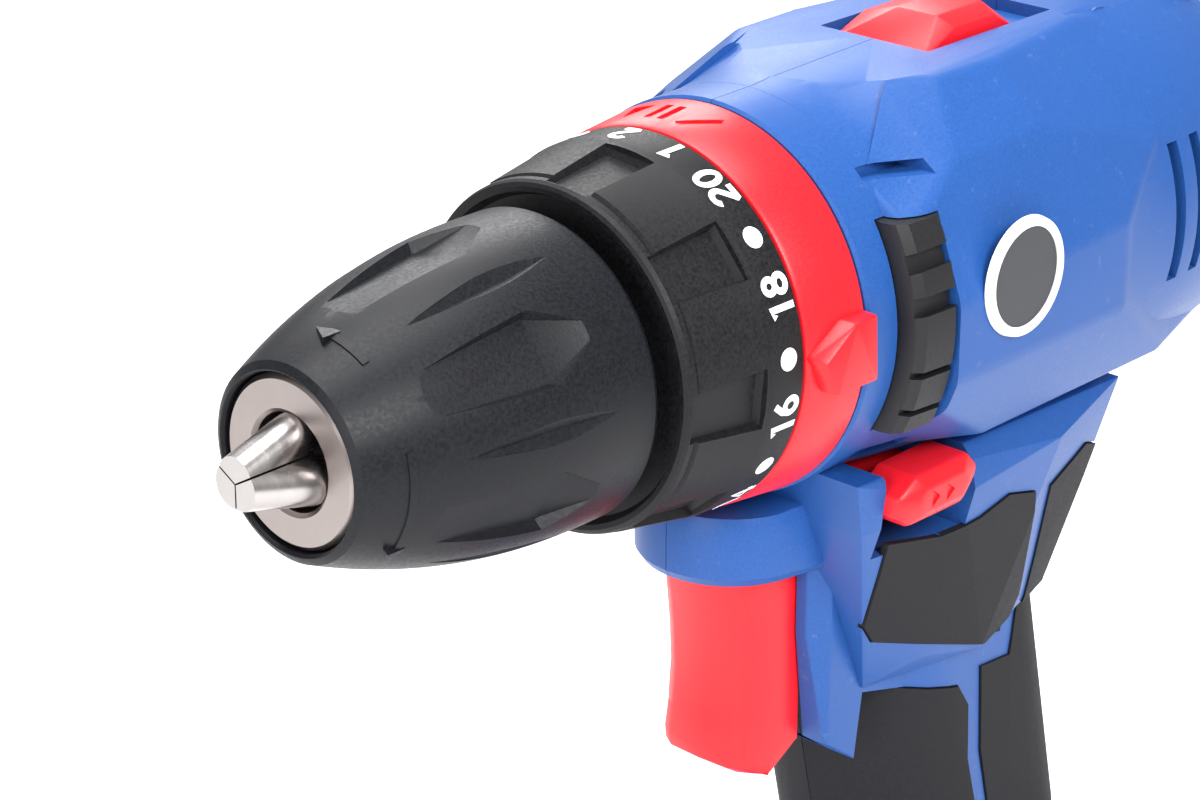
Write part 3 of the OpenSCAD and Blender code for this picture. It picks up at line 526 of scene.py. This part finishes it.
def collar_recess():
    """Cutter for one grip recess, leaving a thin lip at the collar's front edge."""
    floor = 23.75
    return block((17.9, floor - 2, -4.6), (COLLAR_FRONT - 0.9, floor + 8, 4.6), [
        ((17.9, floor, 0), (-0.11, -1, 0)),
        ((18.4, floor, 0), (-1, -0.6, 0)),
        ((25, floor, 3.6), (0, -0.45, 1)),
        ((25, floor, -3.6), (0, -0.45, -1)),
    ])


def torque_collar():
    r, f = COLLAR_R, COLLAR_FRONT
    outline = [(COLLAR_BACK, 22.3), (COLLAR_BACK, r - 0.15), (COLLAR_BACK + 0.15, r),
               (COLLAR_BACK + 5.6, r - 0.15), (COLLAR_BACK + 6, r - 0.3),
               (f - 2.4, 23.75), (f - 2.0, 23.3), (f - 1.6, 23.5), (f - 0.8, 23.4),
               (f - 0.25, 23.1), (f, 22.6), (f - 0.15, 21.9), (f - 1.4, 21.2), (f - 1.4, 12.5),
               (f - 3, 12.5), (f - 3, 22.3)]
    bm = cut_away(turned(outline, 144),
                  *[turned_about(collar_recess(), around(45 * i - 5)) for i in range(8)])
    return piece("collar_shell", bm, COLLAR_BLACK, "collar", ["torque_collar"],
                 smooth=20)


def bow(cx, cy, rx, ry, start, end, count=18):
    """Points along an arc, for the strokes of a figure."""
    angles = [math.radians(start + (end - start) * i / count) for i in range(count + 1)]
    return [(cx + rx * math.cos(a), cy + ry * math.sin(a)) for a in angles]


# Strokes of each figure on a body one unit tall
STROKES = {
    "0": [bow(0.3, 0.5, 0.22, 0.41, 0, 360, 32)],
    "1": [[(0.12, 0.76), (0.34, 0.93), (0.34, 0.0)]],
    "2": [bow(0.3, 0.68, 0.22, 0.23, 165, -38) + [(0.08, 0.1), (0.09, 0.09), (0.58, 0.09)]],
    "4": [[(0.58, 0.28), (0.06, 0.28), (0.42, 0.93), (0.42, 0.0)]],
    "6": [bow(0.3, 0.32, 0.22, 0.23, 0, 360, 28), [(0.08, 0.34), (0.16, 0.62), (0.42, 0.95)]],
    "8": [bow(0.3, 0.29, 0.23, 0.2, 0, 360, 28), bow(0.3, 0.71, 0.19, 0.2, 0, 360, 28)],
}


def number_mesh(text, size, weight=0.19):
    """Bold figures, flat, centred on the origin, reading along x with their tops along y."""
    bm = bmesh.new()
    for place, figure in enumerate(text):
        shift = (place - (len(text) - 1) / 2) * 0.68 - 0.3
        for stroke in STROKES[figure]:
            spots = [Vector(((x + shift) * size, (y - 0.5) * size, 0)) for x, y in stroke]
            pairs = []
            for i, spot in enumerate(spots):
                before, after = spots[max(i - 1, 0)], spots[min(i + 1, len(spots) - 1)]
                if (spots[0] - spots[-1]).length < 0.01 and i in (0, len(spots) - 1):
                    before, after = spots[-2], spots[1]
                along = (after - before).normalized()
                side = Vector((-along.y, along.x, 0)) * size * weight / 2
                pairs.append((bm.verts.new(spot + side), bm.verts.new(spot - side)))
            for a, b in zip(pairs, pairs[1:]):
                bm.faces.new((a[0], b[0], b[1], a[1]))
    return bm


def dot_mesh(radius):
    bm = bmesh.new()
    bmesh.ops.create_circle(bm, cap_ends=True, radius=radius, segments=32)
    return bm


def wrapped(bm, angle_deg, station, thickness=0.05):
    """Prints a flat mesh on the collar's number band: x runs upwards round it, y forwards."""
    bmesh.ops.triangulate(bm, faces=bm.faces)
    for _ in range(2):
        long_edges = [e for e in bm.edges if e.calc_length() > 0.8]
        if long_edges:
            bmesh.ops.subdivide_edges(bm, edges=long_edges, cuts=1)
            bmesh.ops.triangulate(bm, faces=bm.faces)
    for v in bm.verts:
        x = station + v.co.y
        r = COLLAR_R - 0.12 * (x - COLLAR_BACK) / 5.6 + 0.02
        a = around(angle_deg) + v.co.x / COLLAR_R
        v.co = Vector((x, r * math.cos(a), r * math.sin(a)))
    done = bmesh.ops.extrude_face_region(bm, geom=bm.faces[:])
    for v in done["geom"]:
        if isinstance(v, bmesh.types.BMVert):
            out = Vector((0, v.co.y, v.co.z)).normalized()
            v.co += out * thickness
    return bm


def collar_figures():
    station = COLLAR_BACK + 2.9
    step = 18
    for setting in range(1, 21):
        angle = (setting - 17) * step + 5
        if setting % 2 and setting != 1:
            flat, name = dot_mesh(1.5), f"mark_{setting}"
        else:
            flat, name = number_mesh(str(setting), 4.7), f"figure_{setting}"
        piece(name, wrapped(flat, angle, station), WHITE_INK, "collar")


def ring_mark(outline, angle_deg, depth=0.5):
    """Shallow cutter for a mark on the mode ring: outline of (x, distance round the ring)."""
    bm = bmesh.new()
    face = bm.faces.new([bm.verts.new((x, RING_R - depth - 0.4, t)) for x, t in outline])
    moved = bmesh.ops.extrude_face_region(bm, geom=[face])
    verts = [v for v in moved["geom"] if isinstance(v, bmesh.types.BMVert)]
    bmesh.ops.translate(bm, vec=(0, 3, 0), verts=verts)
    return turned_about(join_up(bm), around(angle_deg))


def mode_ring():
    front = RING_FRONT
    outline = [(0.15, 22.4), (0.15, RING_R - 0.5), (0.5, RING_R - 0.05), (1.2, RING_R),
               (front - 0.7, 26.1), (front - 0.15, 25.8), (front, 25.4), (front, 22.4)]
    pointer = hull([(x, y, z) for x, y, z in (
        (0.3, 20, -4.2), (0.3, 20, 5.6), (0.3, 29.1, -3.7), (0.3, 28.7, 5.1), (8.2, 29.0, -3.6),
        (4.4, 28.7, 5.0), (9.8, 28.4, 0.9), (8.4, 20, -4.1), (6.2, 20, 5.4),
        (RING_FRONT - 0.1, 26.6, 1.5), (RING_FRONT - 0.1, 20, 1.5))], 0.3)
    marks = [ring_mark([(3, -2.2), (4, -2.6), (8.4, 1.2), (7.6, 2.2)], 84),
             ring_mark([(3.2, -1.6), (8, -1.6), (8, -0.4), (3.2, -0.4)], 96),
             ring_mark([(3.2, 0.6), (8, 0.6), (8, 1.8), (3.2, 1.8)], 96),
             ring_mark([(3.4, -2), (8, 0), (3.4, 2)], 108)]
    bm = cut_away(united(turned(outline, 144), pointer), *marks)
    return piece("mode_ring_shell", bm, RED, "mode_ring", ["mode_ring"], smooth=25)


# ---- Housing -------------------------------------------------------------------------

BODY_BACK = drill_box("left_housing")[0].x
LEAN = math.radians(13)


def handle_point(x, z):
    """Point of the leaning handle frame: x back from the front face, z up the handle."""
    return Vector((-5.15 + x * math.cos(LEAN) + z * math.sin(LEAN), 0,
                   -x * math.sin(LEAN) + z * math.cos(LEAN)))


def both_sides(cuts):
    return cuts + [((p[0], -p[1], p[2]), (n[0], -n[1], n[2])) for p, n in cuts if n[1]]


PLATEAU_Z = 28.25
RECESS_FLOOR = 26.4               # floor of the pocket that the gear selector slides in
BAND_R = 27.4                     # round front band of the housing
ROOM_HALF = 10.9                  # half width of the rooms in the neck and the handle


def shroud():
    """Faceted block over the gearbox, with the raised top plateau."""
    return block((-94, -31.1, -21), (-7.5, 31.1, PLATEAU_Z), both_sides([
        ((-19, 13.5, 28), (0.5, 0.84, 1.14)),
        ((-25, 17.5, 28), (0.2, 8, 7.5)),
        ((-37, 18, 28), (-1.2, 8, 7.5)),
        ((-25, 25, 20), (0.3, 17, 6.2)),
        ((-7.5, 27.6, 0), (1.1, 1, 0)),
        ((-19, 22, -20), (0.5, 0.84, -1.14)),
        ((-30, 31.1, -8), (0, 13, -5.2)),
        ((-52, 31.1, 0), (-0.3, 1, 0)),
        ((-62, 0, 28.2), (-0.185, 0, 1)),
    ]), 1.0, 3)


def front_hollow():
    """Cutter for the hollow between the front band and the plateau's front edge."""
    outline = [(2, BAND_R), (-8.5, BAND_R), (-11, 27.6), (-14, 28.1), (-18.6, 29.7), (-22, 31.4),
               (-25.5, 33.6), (-25.5, 45), (2, 45)]
    plan = block((-27, -24, 14), (3, 24, 40), both_sides([
        ((-19, 13.5, 28), (-5, 9.5, 0))]))
    return common(turned(outline, 120), plan)


def front_facet():
    """Cutter for the slightly lower facet at the front of the plateau."""
    floor = [(-34, 1.5, PLATEAU_Z), (-25, 15, PLATEAU_Z), (-17, 12, PLATEAU_Z - 0.5),
             (-12, 0, PLATEAU_Z - 0.6)]
    return hull([(x, side * y, z + up) for x, y, z in floor for side in (-1, 1)
                 for up in (0, 8)])


def barrel(grow=0.0):
    back = BODY_BACK
    outline = [(0, 0), (0, 26.9), (-0.4, 27.3), (-8.5, BAND_R), (-12, 28), (-24, 29.6),
               (-40, 30.4), (-68, 30.6), (back + 16, 29.2), (back + 7, 26.4), (back + 2, 21),
               (back, 15), (back, 0)]
    bm = turned([(x, r + grow if r else 0) for x, r in outline], 96)
    return trimmed(bm, [((0, 0, PLATEAU_Z + grow), (0, 0, 1))])


def neck(grow=0.0):
    """Blend from the round body down to the handle."""
    points = []
    for x, y, z in ((-4, 23, -22), (-5.8, 22.4, -30), (-24, 25.5, -29), (-46, 26, -27),
                    (-64, 23, -24), (-15.4, 13.4, -53), (-18, 14, -60), (-41, 17.2, -61),
                    (-60, 14, -58), (-62, 19, -40), (-28, 16.6, -58)):
        for side in (-1, 1):
            points.append((x, side * (y + grow), z))
    return hull(points, 3.2, 4)


def handle(grow=0.0, low=-119, high=-45):
    points = []
    for z in (low, high):
        for front, r in ((15.5, 15.5), (31.5, 14.5)):
            for i in range(24):
                a = TURN * i / 24
                spot = handle_point(-front + (r + grow) * math.cos(a), z)
                spot.y = (r + grow) * math.sin(a)
                points.append(spot)
    return hull(points)


def brow():
    """Ledge over the trigger, with a blunt round nose."""
    points = ring_points((-5, 0, -28.4), 12.4, 40) + ring_points((-5, 0, -30), 13, 40)
    points += ring_points((-5, 0, -37.2), 13, 40) + ring_points((-5, 0, -38.4), 12.2, 40)
    points += [(-25, side * 16, z) for side in (-1, 1) for z in (-27, -39)]
    return hull(points)


def trigger_frame():
    return block((-30, -13.6, -76), (-8.6, 13.6, -30), both_sides([
        ((-9.4, 0, -56), (1, 0, -0.12)),
        ((-11, 0, -66.5), (0.6, 0, -0.8)),
        ((-8.6, 11.2, 0), (1, 1, 0)),
    ]), 1.6, 4)


def foot():
    low, high = FLOOR_Z + 28, FLOOR_Z + 33
    half_len, half_w = 38, 29
    points = []
    for z, inset in ((low, 0.6), (high, 0)):
        for sx in (-1, 1):
            for sy in (-1, 1):
                for i in range(5):
                    a = math.radians(90 * i / 4)
                    points.append((-48 + sx * (half_len - 9 - inset + 9 * math.cos(a)),
                                   sy * (half_w - 9 - inset + 9 * math.sin(a)), z))
    for front, r in ((15.5, 15.5), (31.5, 14.5)):
        for i in range(24):
            a = TURN * i / 24
            spot = handle_point(-front + r * math.cos(a), -108)
            spot.y = r * math.sin(a)
            points.append(spot)
    return hull(points)


UPPER_PANEL = [(-11.6, -33), (-13, -47.4), (-16, -51), (-41.6, -60.6), (-49, -62), (-50.5, -56),
               (-43, -35), (-36, -33), (-30, -34.6), (-22, -35)]
LOWER_PANEL = [(-17.2, -71), (-18.6, -61.2), (-38.5, -67), (-41.2, -71), (-41.5, -80), (-47.5, -101),
               (-43, -106), (-26, -103), (-20, -84)]
SPINE_PANEL = [(-44.4, -66), (-52, -67), (-54, -58), (-48, -36), (-58, -33), (-76, -40), (-86, -108),
               (-56, -106), (-50, -100), (-45, -80)]


def panels(grow=0.0):
    """Prisms over the rubber's outlines on the left side."""
    made = []
    for outline in (UPPER_PANEL, LOWER_PANEL, SPINE_PANEL):
        middle = Vector((sum(x for x, _ in outline), sum(z for _, z in outline))) / len(outline)
        grown = [Vector(p) + (Vector(p) - middle).normalized() * grow for p in outline]
        made.append(side_prism([(p.x, p.y) for p in grown], 0.0, 60))
    return made


def housing_shape():
    return united(barrel(), shroud(), neck(), handle(), brow(), trigger_frame(), foot())


SCREW_SPOTS = [(-68, 24.4), (-88, 24.6), (-88, -24.6), (-54, -27), (-34, -78), (-38, -98)]


def post(x, z, radius, low, high, count=32):
    """Round bar across the drill."""
    return hull([(x + radius * math.cos(TURN * i / count), y, z + radius * math.sin(TURN * i / count))
                 for i in range(count) for y in (low, high)])


def housing_cuts():
    """Openings through the left housing half, and the shallow pockets in its skin."""
    low, high = drill_box("direction_lever")
    lever = block((low.x - 0.4, -60, low.z + 5.2), (high.x + 0.4, 60, high.z + 0.4))
    low, high = drill_box("trigger")
    slot = block((low.x - 12, low.y - 0.35, low.z - 4), (12, high.y + 0.35, high.z + 0.4))
    recess = block((-61.7, -9.3, RECESS_FLOOR), (-33.7, 9.3, 50),
                   [((-33.7, 0, RECESS_FLOOR), (1, 0, -0.35)),
                    ((-61.7, 0, RECESS_FLOOR), (-1, 0, -0.5))])
    window = block((-55.7, -4.3, 22), (-39.7, 4.3, 40))
    bay = block((-84, -19, FLOOR_Z + 20), (30, 19, FLOOR_Z + 31))
    strip = common(turned([(-14.1, 27.0), (-14.1, 40), (-5.6, 40), (-5.6, 27.0)], 96),
                   block((-20, 0, -14.3), (0, 60, 14.9)))
    cuts = [lever, slot, recess, window, bay, strip, front_hollow(), front_facet()]
    for z in (19.6, -19.6):
        cuts.append(block((-16.4, 18, z - 0.8), (-7.2, 26, z + 0.8)))
    for i in range(5):
        cuts.append(block((-66.8 - 5.6 * i, 25, -8), (-64.4 - 5.6 * i, 37, 12)))
    return cuts


def cylinder(back, front, radius, inner=0.0):
    return turned([(back, inner), (back, radius), (front, radius), (front, inner)], 64)


def housing_cavity():
    """Rooms for the gearbox, the motor, the switch and the wiring."""
    shaft = [handle_point(x, z) for x in (-42.4, -5.6) for z in (-116, -46)]
    return [cylinder(-89.5, -9, 25.2), cylinder(-98.4, -89, 18.4), cylinder(-10, 1, 24.7),
            block((-60, -ROOM_HALF, -54), (-16, ROOM_HALF, -18)),
            block((-45.5, -11, -63.5), (-19.5, 11, -51.5)),
            hull([(spot.x, side * ROOM_HALF, spot.z) for spot in shaft for side in (-1, 1)])]


def inner_ribs():
    """Ribs that hold the gearbox and the motor, and the bosses that the screws pass through."""
    ribs = [cut_away(cylinder(back, back + 2, 25.6, inner),
                     block((back - 2, -25, -43), (back + 4, 25, -17)))
            for back, inner in ((-16, 21.6), (-53, 18.1), (-87, 18.1))]
    return ribs + [post(x, z, 3.6, -13, 13) for x, z in SCREW_SPOTS]


def housing_halves():
    """The left half, and its mirror image with the screw-head recesses as the right half."""
    shape = united(cut_away(housing_shape(), *housing_cavity()), *inner_ribs())
    inner = united(neck(-0.9), handle(-0.9, -112, -46), barrel(-0.3))
    recess = [cut_away(panel, inner.copy()) for panel in panels(0.25)]
    inner.free()
    left = common(shape, block((-120, 0.06, -125), (20, 40, 40)))
    left = cut_away(left, *housing_cuts(), *recess)
    right = cut_away(mirrored(left.copy()),
                     *[post(x, z, 2.85, -60, -7.9) for x, z in SCREW_SPOTS])
    for name, bm in (("left", left), ("right", right)):
        piece(f"{name}_shell", bm, BLUE, "housing", [f"{name}_housing"], smooth=28)


def grip(side):
    name = "left" if side > 0 else "right"
    outer = united(neck(0.35), handle(0.35, -112, -46))
    inner = united(neck(-0.85), handle(-0.85, -113, -46), barrel(-0.2))
    parts = []
    for panel in panels():
        half = block((-120, 0.06, -125), (20, 60, 40))
        parts.append(cut_away(common(panel, outer.copy(), half), inner.copy()))
    outer.free()
    inner.free()
    bm = united(*parts)
    if side < 0:
        bm = mirrored(bm)
    return piece(f"{name}_rubber", bm, RUBBER, "housing", [f"{name}_grip"],
                 smooth=30, round_edges=0.35)


def bumper(side):
    name = "left" if side > 0 else "right"
    strip = common(turned([(-13.8, 26.9), (-13.8, 30.6), (-13, 31.1), (-7.6, 30.7),
                           (-6.3, 29.8), (-5.9, 28.6), (-5.9, 26.9)], 160),
                   block((-20, 0, -14.1), (0, 60, 14.7)))
    cuts = []
    for angle, gap in ((19, 1.3), (8, 1.3), (-10, 0.5), (-21, 0.5)):
        cuts.append(turned_about(block((-20, 29.5, -gap), (0, 40, gap)), around(angle)))
    bm = cut_away(strip, *cuts)
    if side < 0:
        bm = mirrored(bm)
    return piece(f"{name}_strip", bm, STRIP_RUBBER, "housing", [f"{name}_bumper"],
                 smooth=30, round_edges=0.3)


# ---- Controls ------------------------------------------------------------------------

def trigger():
    """Tall hollow-faced trigger with a rounded foot."""
    low, high = drill_box("trigger")
    top, half = high.z, high.y
    bottom = low.z - 3.6
    column = [(1.6, top), (0.8, top - 5), (0.1, top - 11), (-0.2, top - 17), (0.3, top - 23),
              (1.0, top - 27), (0.8, bottom + 1.6), (-1.6, bottom)]
    bm = bmesh.new()
    rows = []
    for x, z in column:
        rows.append([bm.verts.new(spot) for spot in (
            (low.x, -half, z), (-4.2, -half, z), (x - 1.4, -7.4, z), (x, -5.2, z), (x + 0.25, 0, z),
            (x, 5.2, z), (x - 1.4, 7.4, z), (-4.2, half, z), (low.x, half, z))])
    for a, b in zip(rows, rows[1:]):
        for i in range(len(a) - 1):
            bm.faces.new((a[i], a[i + 1], b[i + 1], b[i]))
        bm.faces.new((a[-1], a[0], b[0], b[-1]))
    bm.faces.new(rows[0])
    bm.faces.new(rows[-1][::-1])
    join_up(bm)
    bm = cut_away(bm, block((low.x - 4, -20, bottom - 6), (8, 20, bottom + 3.4), [
        ((-3.5, 0, bottom), (0.55, 0, 1))]))
    return piece("trigger_shell", bm, RED, "trigger", ["trigger"], smooth=40,
                 round_edges=0.9, steps=4)


def direction_lever():
    low, high = drill_box("direction_lever")
    mid_z = -26.0
    parts = [block((-24, -20, -28.4), (-12, 20, -25.4))]
    parts.append(block((-24, -2.4, low.z), (-20, 2.4, -27)))
    for side in (-1, 1):
        face = high.y
        knob = hull([(x, side * y, mid_z + z) for x, z in
                     ((low.x - 0.6, 0.6), (low.x + 2.2, 3.6), (low.x + 3.4, -3.5),
                      (high.x - 3.2, 3.6), (high.x - 1.4, -3.3), (high.x + 0.4, 1.2),
                      (high.x + 0.4, -1.6))
                     for y in (19, face - 1.3)]
                    + [(x, side * face, mid_z + z) for x, z in
                       ((low.x + 3, 0), (low.x + 4.4, 1.9), (low.x + 4.4, -1.9),
                        (high.x - 4, 1.9), (high.x - 4, -1.9), (high.x - 2.6, 0))], 0.45, 3)
        arrows = []
        for x in (low.x + 7.2, low.x + 10.4):
            arrows.append(side_prism([(x - 0.8, mid_z), (x + 0.9, mid_z + 1.3),
                                      (x + 0.9, mid_z - 1.3)], face - 0.35, face + 2))
        if side < 0:
            arrows = [mirrored(a) for a in arrows]
        parts.append(cut_away(knob, *arrows))
    return piece("lever_bar", united(*parts), RED, "lever", ["direction_lever"],
                 smooth=30)


def gear_selector():
    """Red wedge-shaped slider on the plateau, with its stem and the arm to the ring gear."""
    base, top = RECESS_FLOOR + 0.1, drill_box("gear_selector")[1].z
    profile = [(-34.2, base), (-41, top), (-51, top), (-55.8, base)]
    middle = hull([(x, y, z) for x, z in profile for y in (-1.6, 5.2)]
                  + [(x, y, base) for x in (-34.2, -55.8) for y in (-8, 8)]
                  + [(-41.6, 8, top - 1.3), (-50.4, 8, top - 1.3), (-41.6, -8, top - 1.9),
                     (-50.4, -8, top - 1.9)], 0.3, 2)
    stem = block((-49.5, -3.8, 23.5), (-40.5, 3.8, base + 1))
    arm = block((-45.4, -3.8, 23.5), (-23.4, 3.8, 24.9))
    return piece("selector_cap", united(middle, stem, arm), RED, "speed_shift",
                 ["gear_selector"], smooth=24)


def badge(side):
    name = "left" if side > 0 else "right"
    ring = turned([(0, 6.9), (0, 8.3), (0.8, 8.15), (1.0, 7.9), (1.0, 7.2), (0.8, 6.9)], 64)
    plate = turned([(0, 0), (0, 7.1), (0.55, 7.1), (0.55, 0)], 64)
    for bm in (ring, plate):
        turned_about(bm, math.pi / 2, "Z")
        bmesh.ops.translate(bm, vec=(-27.2, 31.2, 3.5), verts=bm.verts)
        if side < 0:
            mirrored(bm)
    piece(f"{name}_badge_ring", ring, WHITE_INK, "housing", [f"{name}_badge"])
    piece(f"{name}_badge_plate", plate, DARK_GAP, "housing")


# ---- Battery pack --------------------------------------------------------------------

def pack_half(name, node):
    low, high = drill_box(node)
    lower = node == "battery_lower_case"
    top = FLOOR_Z + (13.4 if lower else 27)
    bottom = FLOOR_Z + (0 if lower else 13.6)
    points = []
    for z, inset in ((bottom, 1.4 if lower else 0.2), (bottom + 1.4, 0), (top - 1.2, 0),
                     (top, 0.2 if lower else 1.0)):
        for sx in (-1, 1):
            for sy in (-1, 1):
                for i in range(6):
                    a = math.radians(90 * i / 5)
                    points.append(((low.x + high.x) / 2 + sx * (33 - inset + 8 * math.cos(a)),
                                   sy * (23 - inset + 8 * math.sin(a)), z))
    bm = hull(points)
    middle = (low.x + high.x) / 2
    latch_low = drill_box("battery_latch")[0]
    cutters = [block((latch_low.x - 0.4, -5.4, FLOOR_Z + 20), (high.x + 3, 5.4, FLOOR_Z + 40)),
               block((latch_low.x + 0.6, -10.4, FLOOR_Z + 8), (high.x + 3, 10.4, FLOOR_Z + 40))]
    for i in range(5):
        for side in (-1, 1):
            cutters.append(block((middle - 22 + 9 * i, side * 31 - 0.7, FLOOR_Z + 4.5),
                                 (middle - 19.5 + 9 * i, side * 31 + 0.7, FLOOR_Z + 22)))
    bm = cut_away(bm, *cutters)
    if not lower:
        bm = united(bm, block((-79, -18.5, top - 1), (-25, 18.5, FLOOR_Z + 30.4)))
    return piece(name, bm, CASE_BLACK, "battery", [node], smooth=30,
                 round_edges=0.3)


def battery_latch():
    low, high = drill_box("battery_latch")
    body = block((low.x + 1, -10, FLOOR_Z + 14.9), (high.x - 1.2, 10, FLOOR_Z + 26.4))
    ribs = [block((high.x - 1.6, -9.6, FLOOR_Z + z), (high.x - 0.05, 9.6, FLOOR_Z + z + 1.3),
                  width=0.35) for z in (15.4, 17.8, 20.2, 22.6)]
    hook = block((low.x, -5, FLOOR_Z + 24), (low.x + 3, 5, high.z))
    return piece("latch_shell", united(body, hook, *ribs), RED, "latch", ["battery_latch"],
                 round_edges=0.25)


# ---- Everything ----------------------------------------------------------------------

def finish_carried_nodes():
    """Finishes for the CAD nodes that show as they are."""
    finishes = {
        "chuck_body": BRIGHT_STEEL, "jaw_1": JAW_STEEL, "jaw_2": JAW_STEEL, "jaw_3": JAW_STEEL,
        "battery_cells": CELL_GREEN, "armature": COPPER, "switch_contacts": BRASS,
        "switch_body": CASE_BLACK, "motor_end_bell": CASE_BLACK, "gear_case": CASE_BLACK,
        "housing_screws": DARK_STEEL, "chuck_screw": DARK_STEEL, "collar_retainer": DARK_STEEL,
        "chuck_rear_plate": DARK_STEEL, "motor_magnets": DARK_STEEL,
    }
    for name, obj in NODES.items():
        if obj.hide_render:
            continue
        mat = finishes.get(name, PLAIN_STEEL)
        obj.data.materials.clear()
        obj.data.materials.append(mat)


def studio():
    bm = bmesh.new()
    bmesh.ops.create_grid(bm, x_segments=1, y_segments=1, size=4)
    floor = as_object(bm, "floor")
    mat, _, shader, _ = new_material("pale floor")
    shader.inputs["Base Color"].default_value = (0.92, 0.92, 0.925, 1)
    shader.inputs["Roughness"].default_value = 0.7
    floor.data.materials.append(mat)
    world = bpy.data.worlds.new("studio")
    world.use_nodes = True
    background = world.node_tree.nodes["Background"]
    background.inputs["Color"].default_value = (1, 1, 1, 1)
    background.inputs["Strength"].default_value = 0.46
    bpy.context.scene.world = world
    bpy.context.scene.view_settings.view_transform = "Standard"
    # Lights in metres around the drill: place, size, power
    for name, spot, size, power in (
            ("key", (0.25, 0.75, 0.75), 0.4, 10.5), ("top", (0.05, -0.1, 1.0), 0.6, 10.5),
            ("nose", (0.95, 0.15, 0.35), 0.5, 4), ("rim", (-0.5, -0.7, 0.7), 0.5, 6)):
        light = bpy.data.lights.new(name, "AREA")
        light.size = size
        light.energy = power
        lamp = bpy.data.objects.new(name, light)
        lamp.location = spot
        lamp.rotation_euler = (Vector((0.06, 0, 0.13)) - Vector(spot)).to_track_quat(
            "-Z", "Y").to_euler()
        bpy.context.scene.collection.objects.link(lamp)


def camera():
    """Three-quarter view of the nose from the left and a little above."""
    azimuth, elevation, distance = math.radians(132.714), math.radians(22.493), 0.45
    aside, lower = 0.014312, 0.01362      # how far the aim is left of and below the nose
    back = Vector((math.sin(azimuth) * math.cos(elevation),
                   -math.cos(azimuth) * math.cos(elevation), math.sin(elevation)))
    right = Vector((0, 0, 1)).cross(back).normalized()
    up = back.cross(right)
    aim = NOSE - right * aside - up * lower
    data = bpy.data.cameras.new("camera")
    data.lens = 101.9
    data.sensor_width = 36
    data.clip_start = 0.01
    obj = bpy.data.objects.new("camera", data)
    obj.location = aim + back * distance
    obj.rotation_euler = Matrix((right, up, back)).transposed().to_euler()
    bpy.context.scene.collection.objects.link(obj)
    bpy.context.scene.camera = obj


camera()
studio()
chuck_sleeve()
torque_collar()
collar_figures()
mode_ring()
housing_halves()
for half in (1, -1):
    grip(half)
    bumper(half)
    badge(half)
trigger()
direction_lever()
gear_selector()
pack_half("pack_lower_shell", "battery_lower_case")
pack_half("pack_upper_shell", "battery_upper_case")
battery_latch()
finish_carried_nodes()
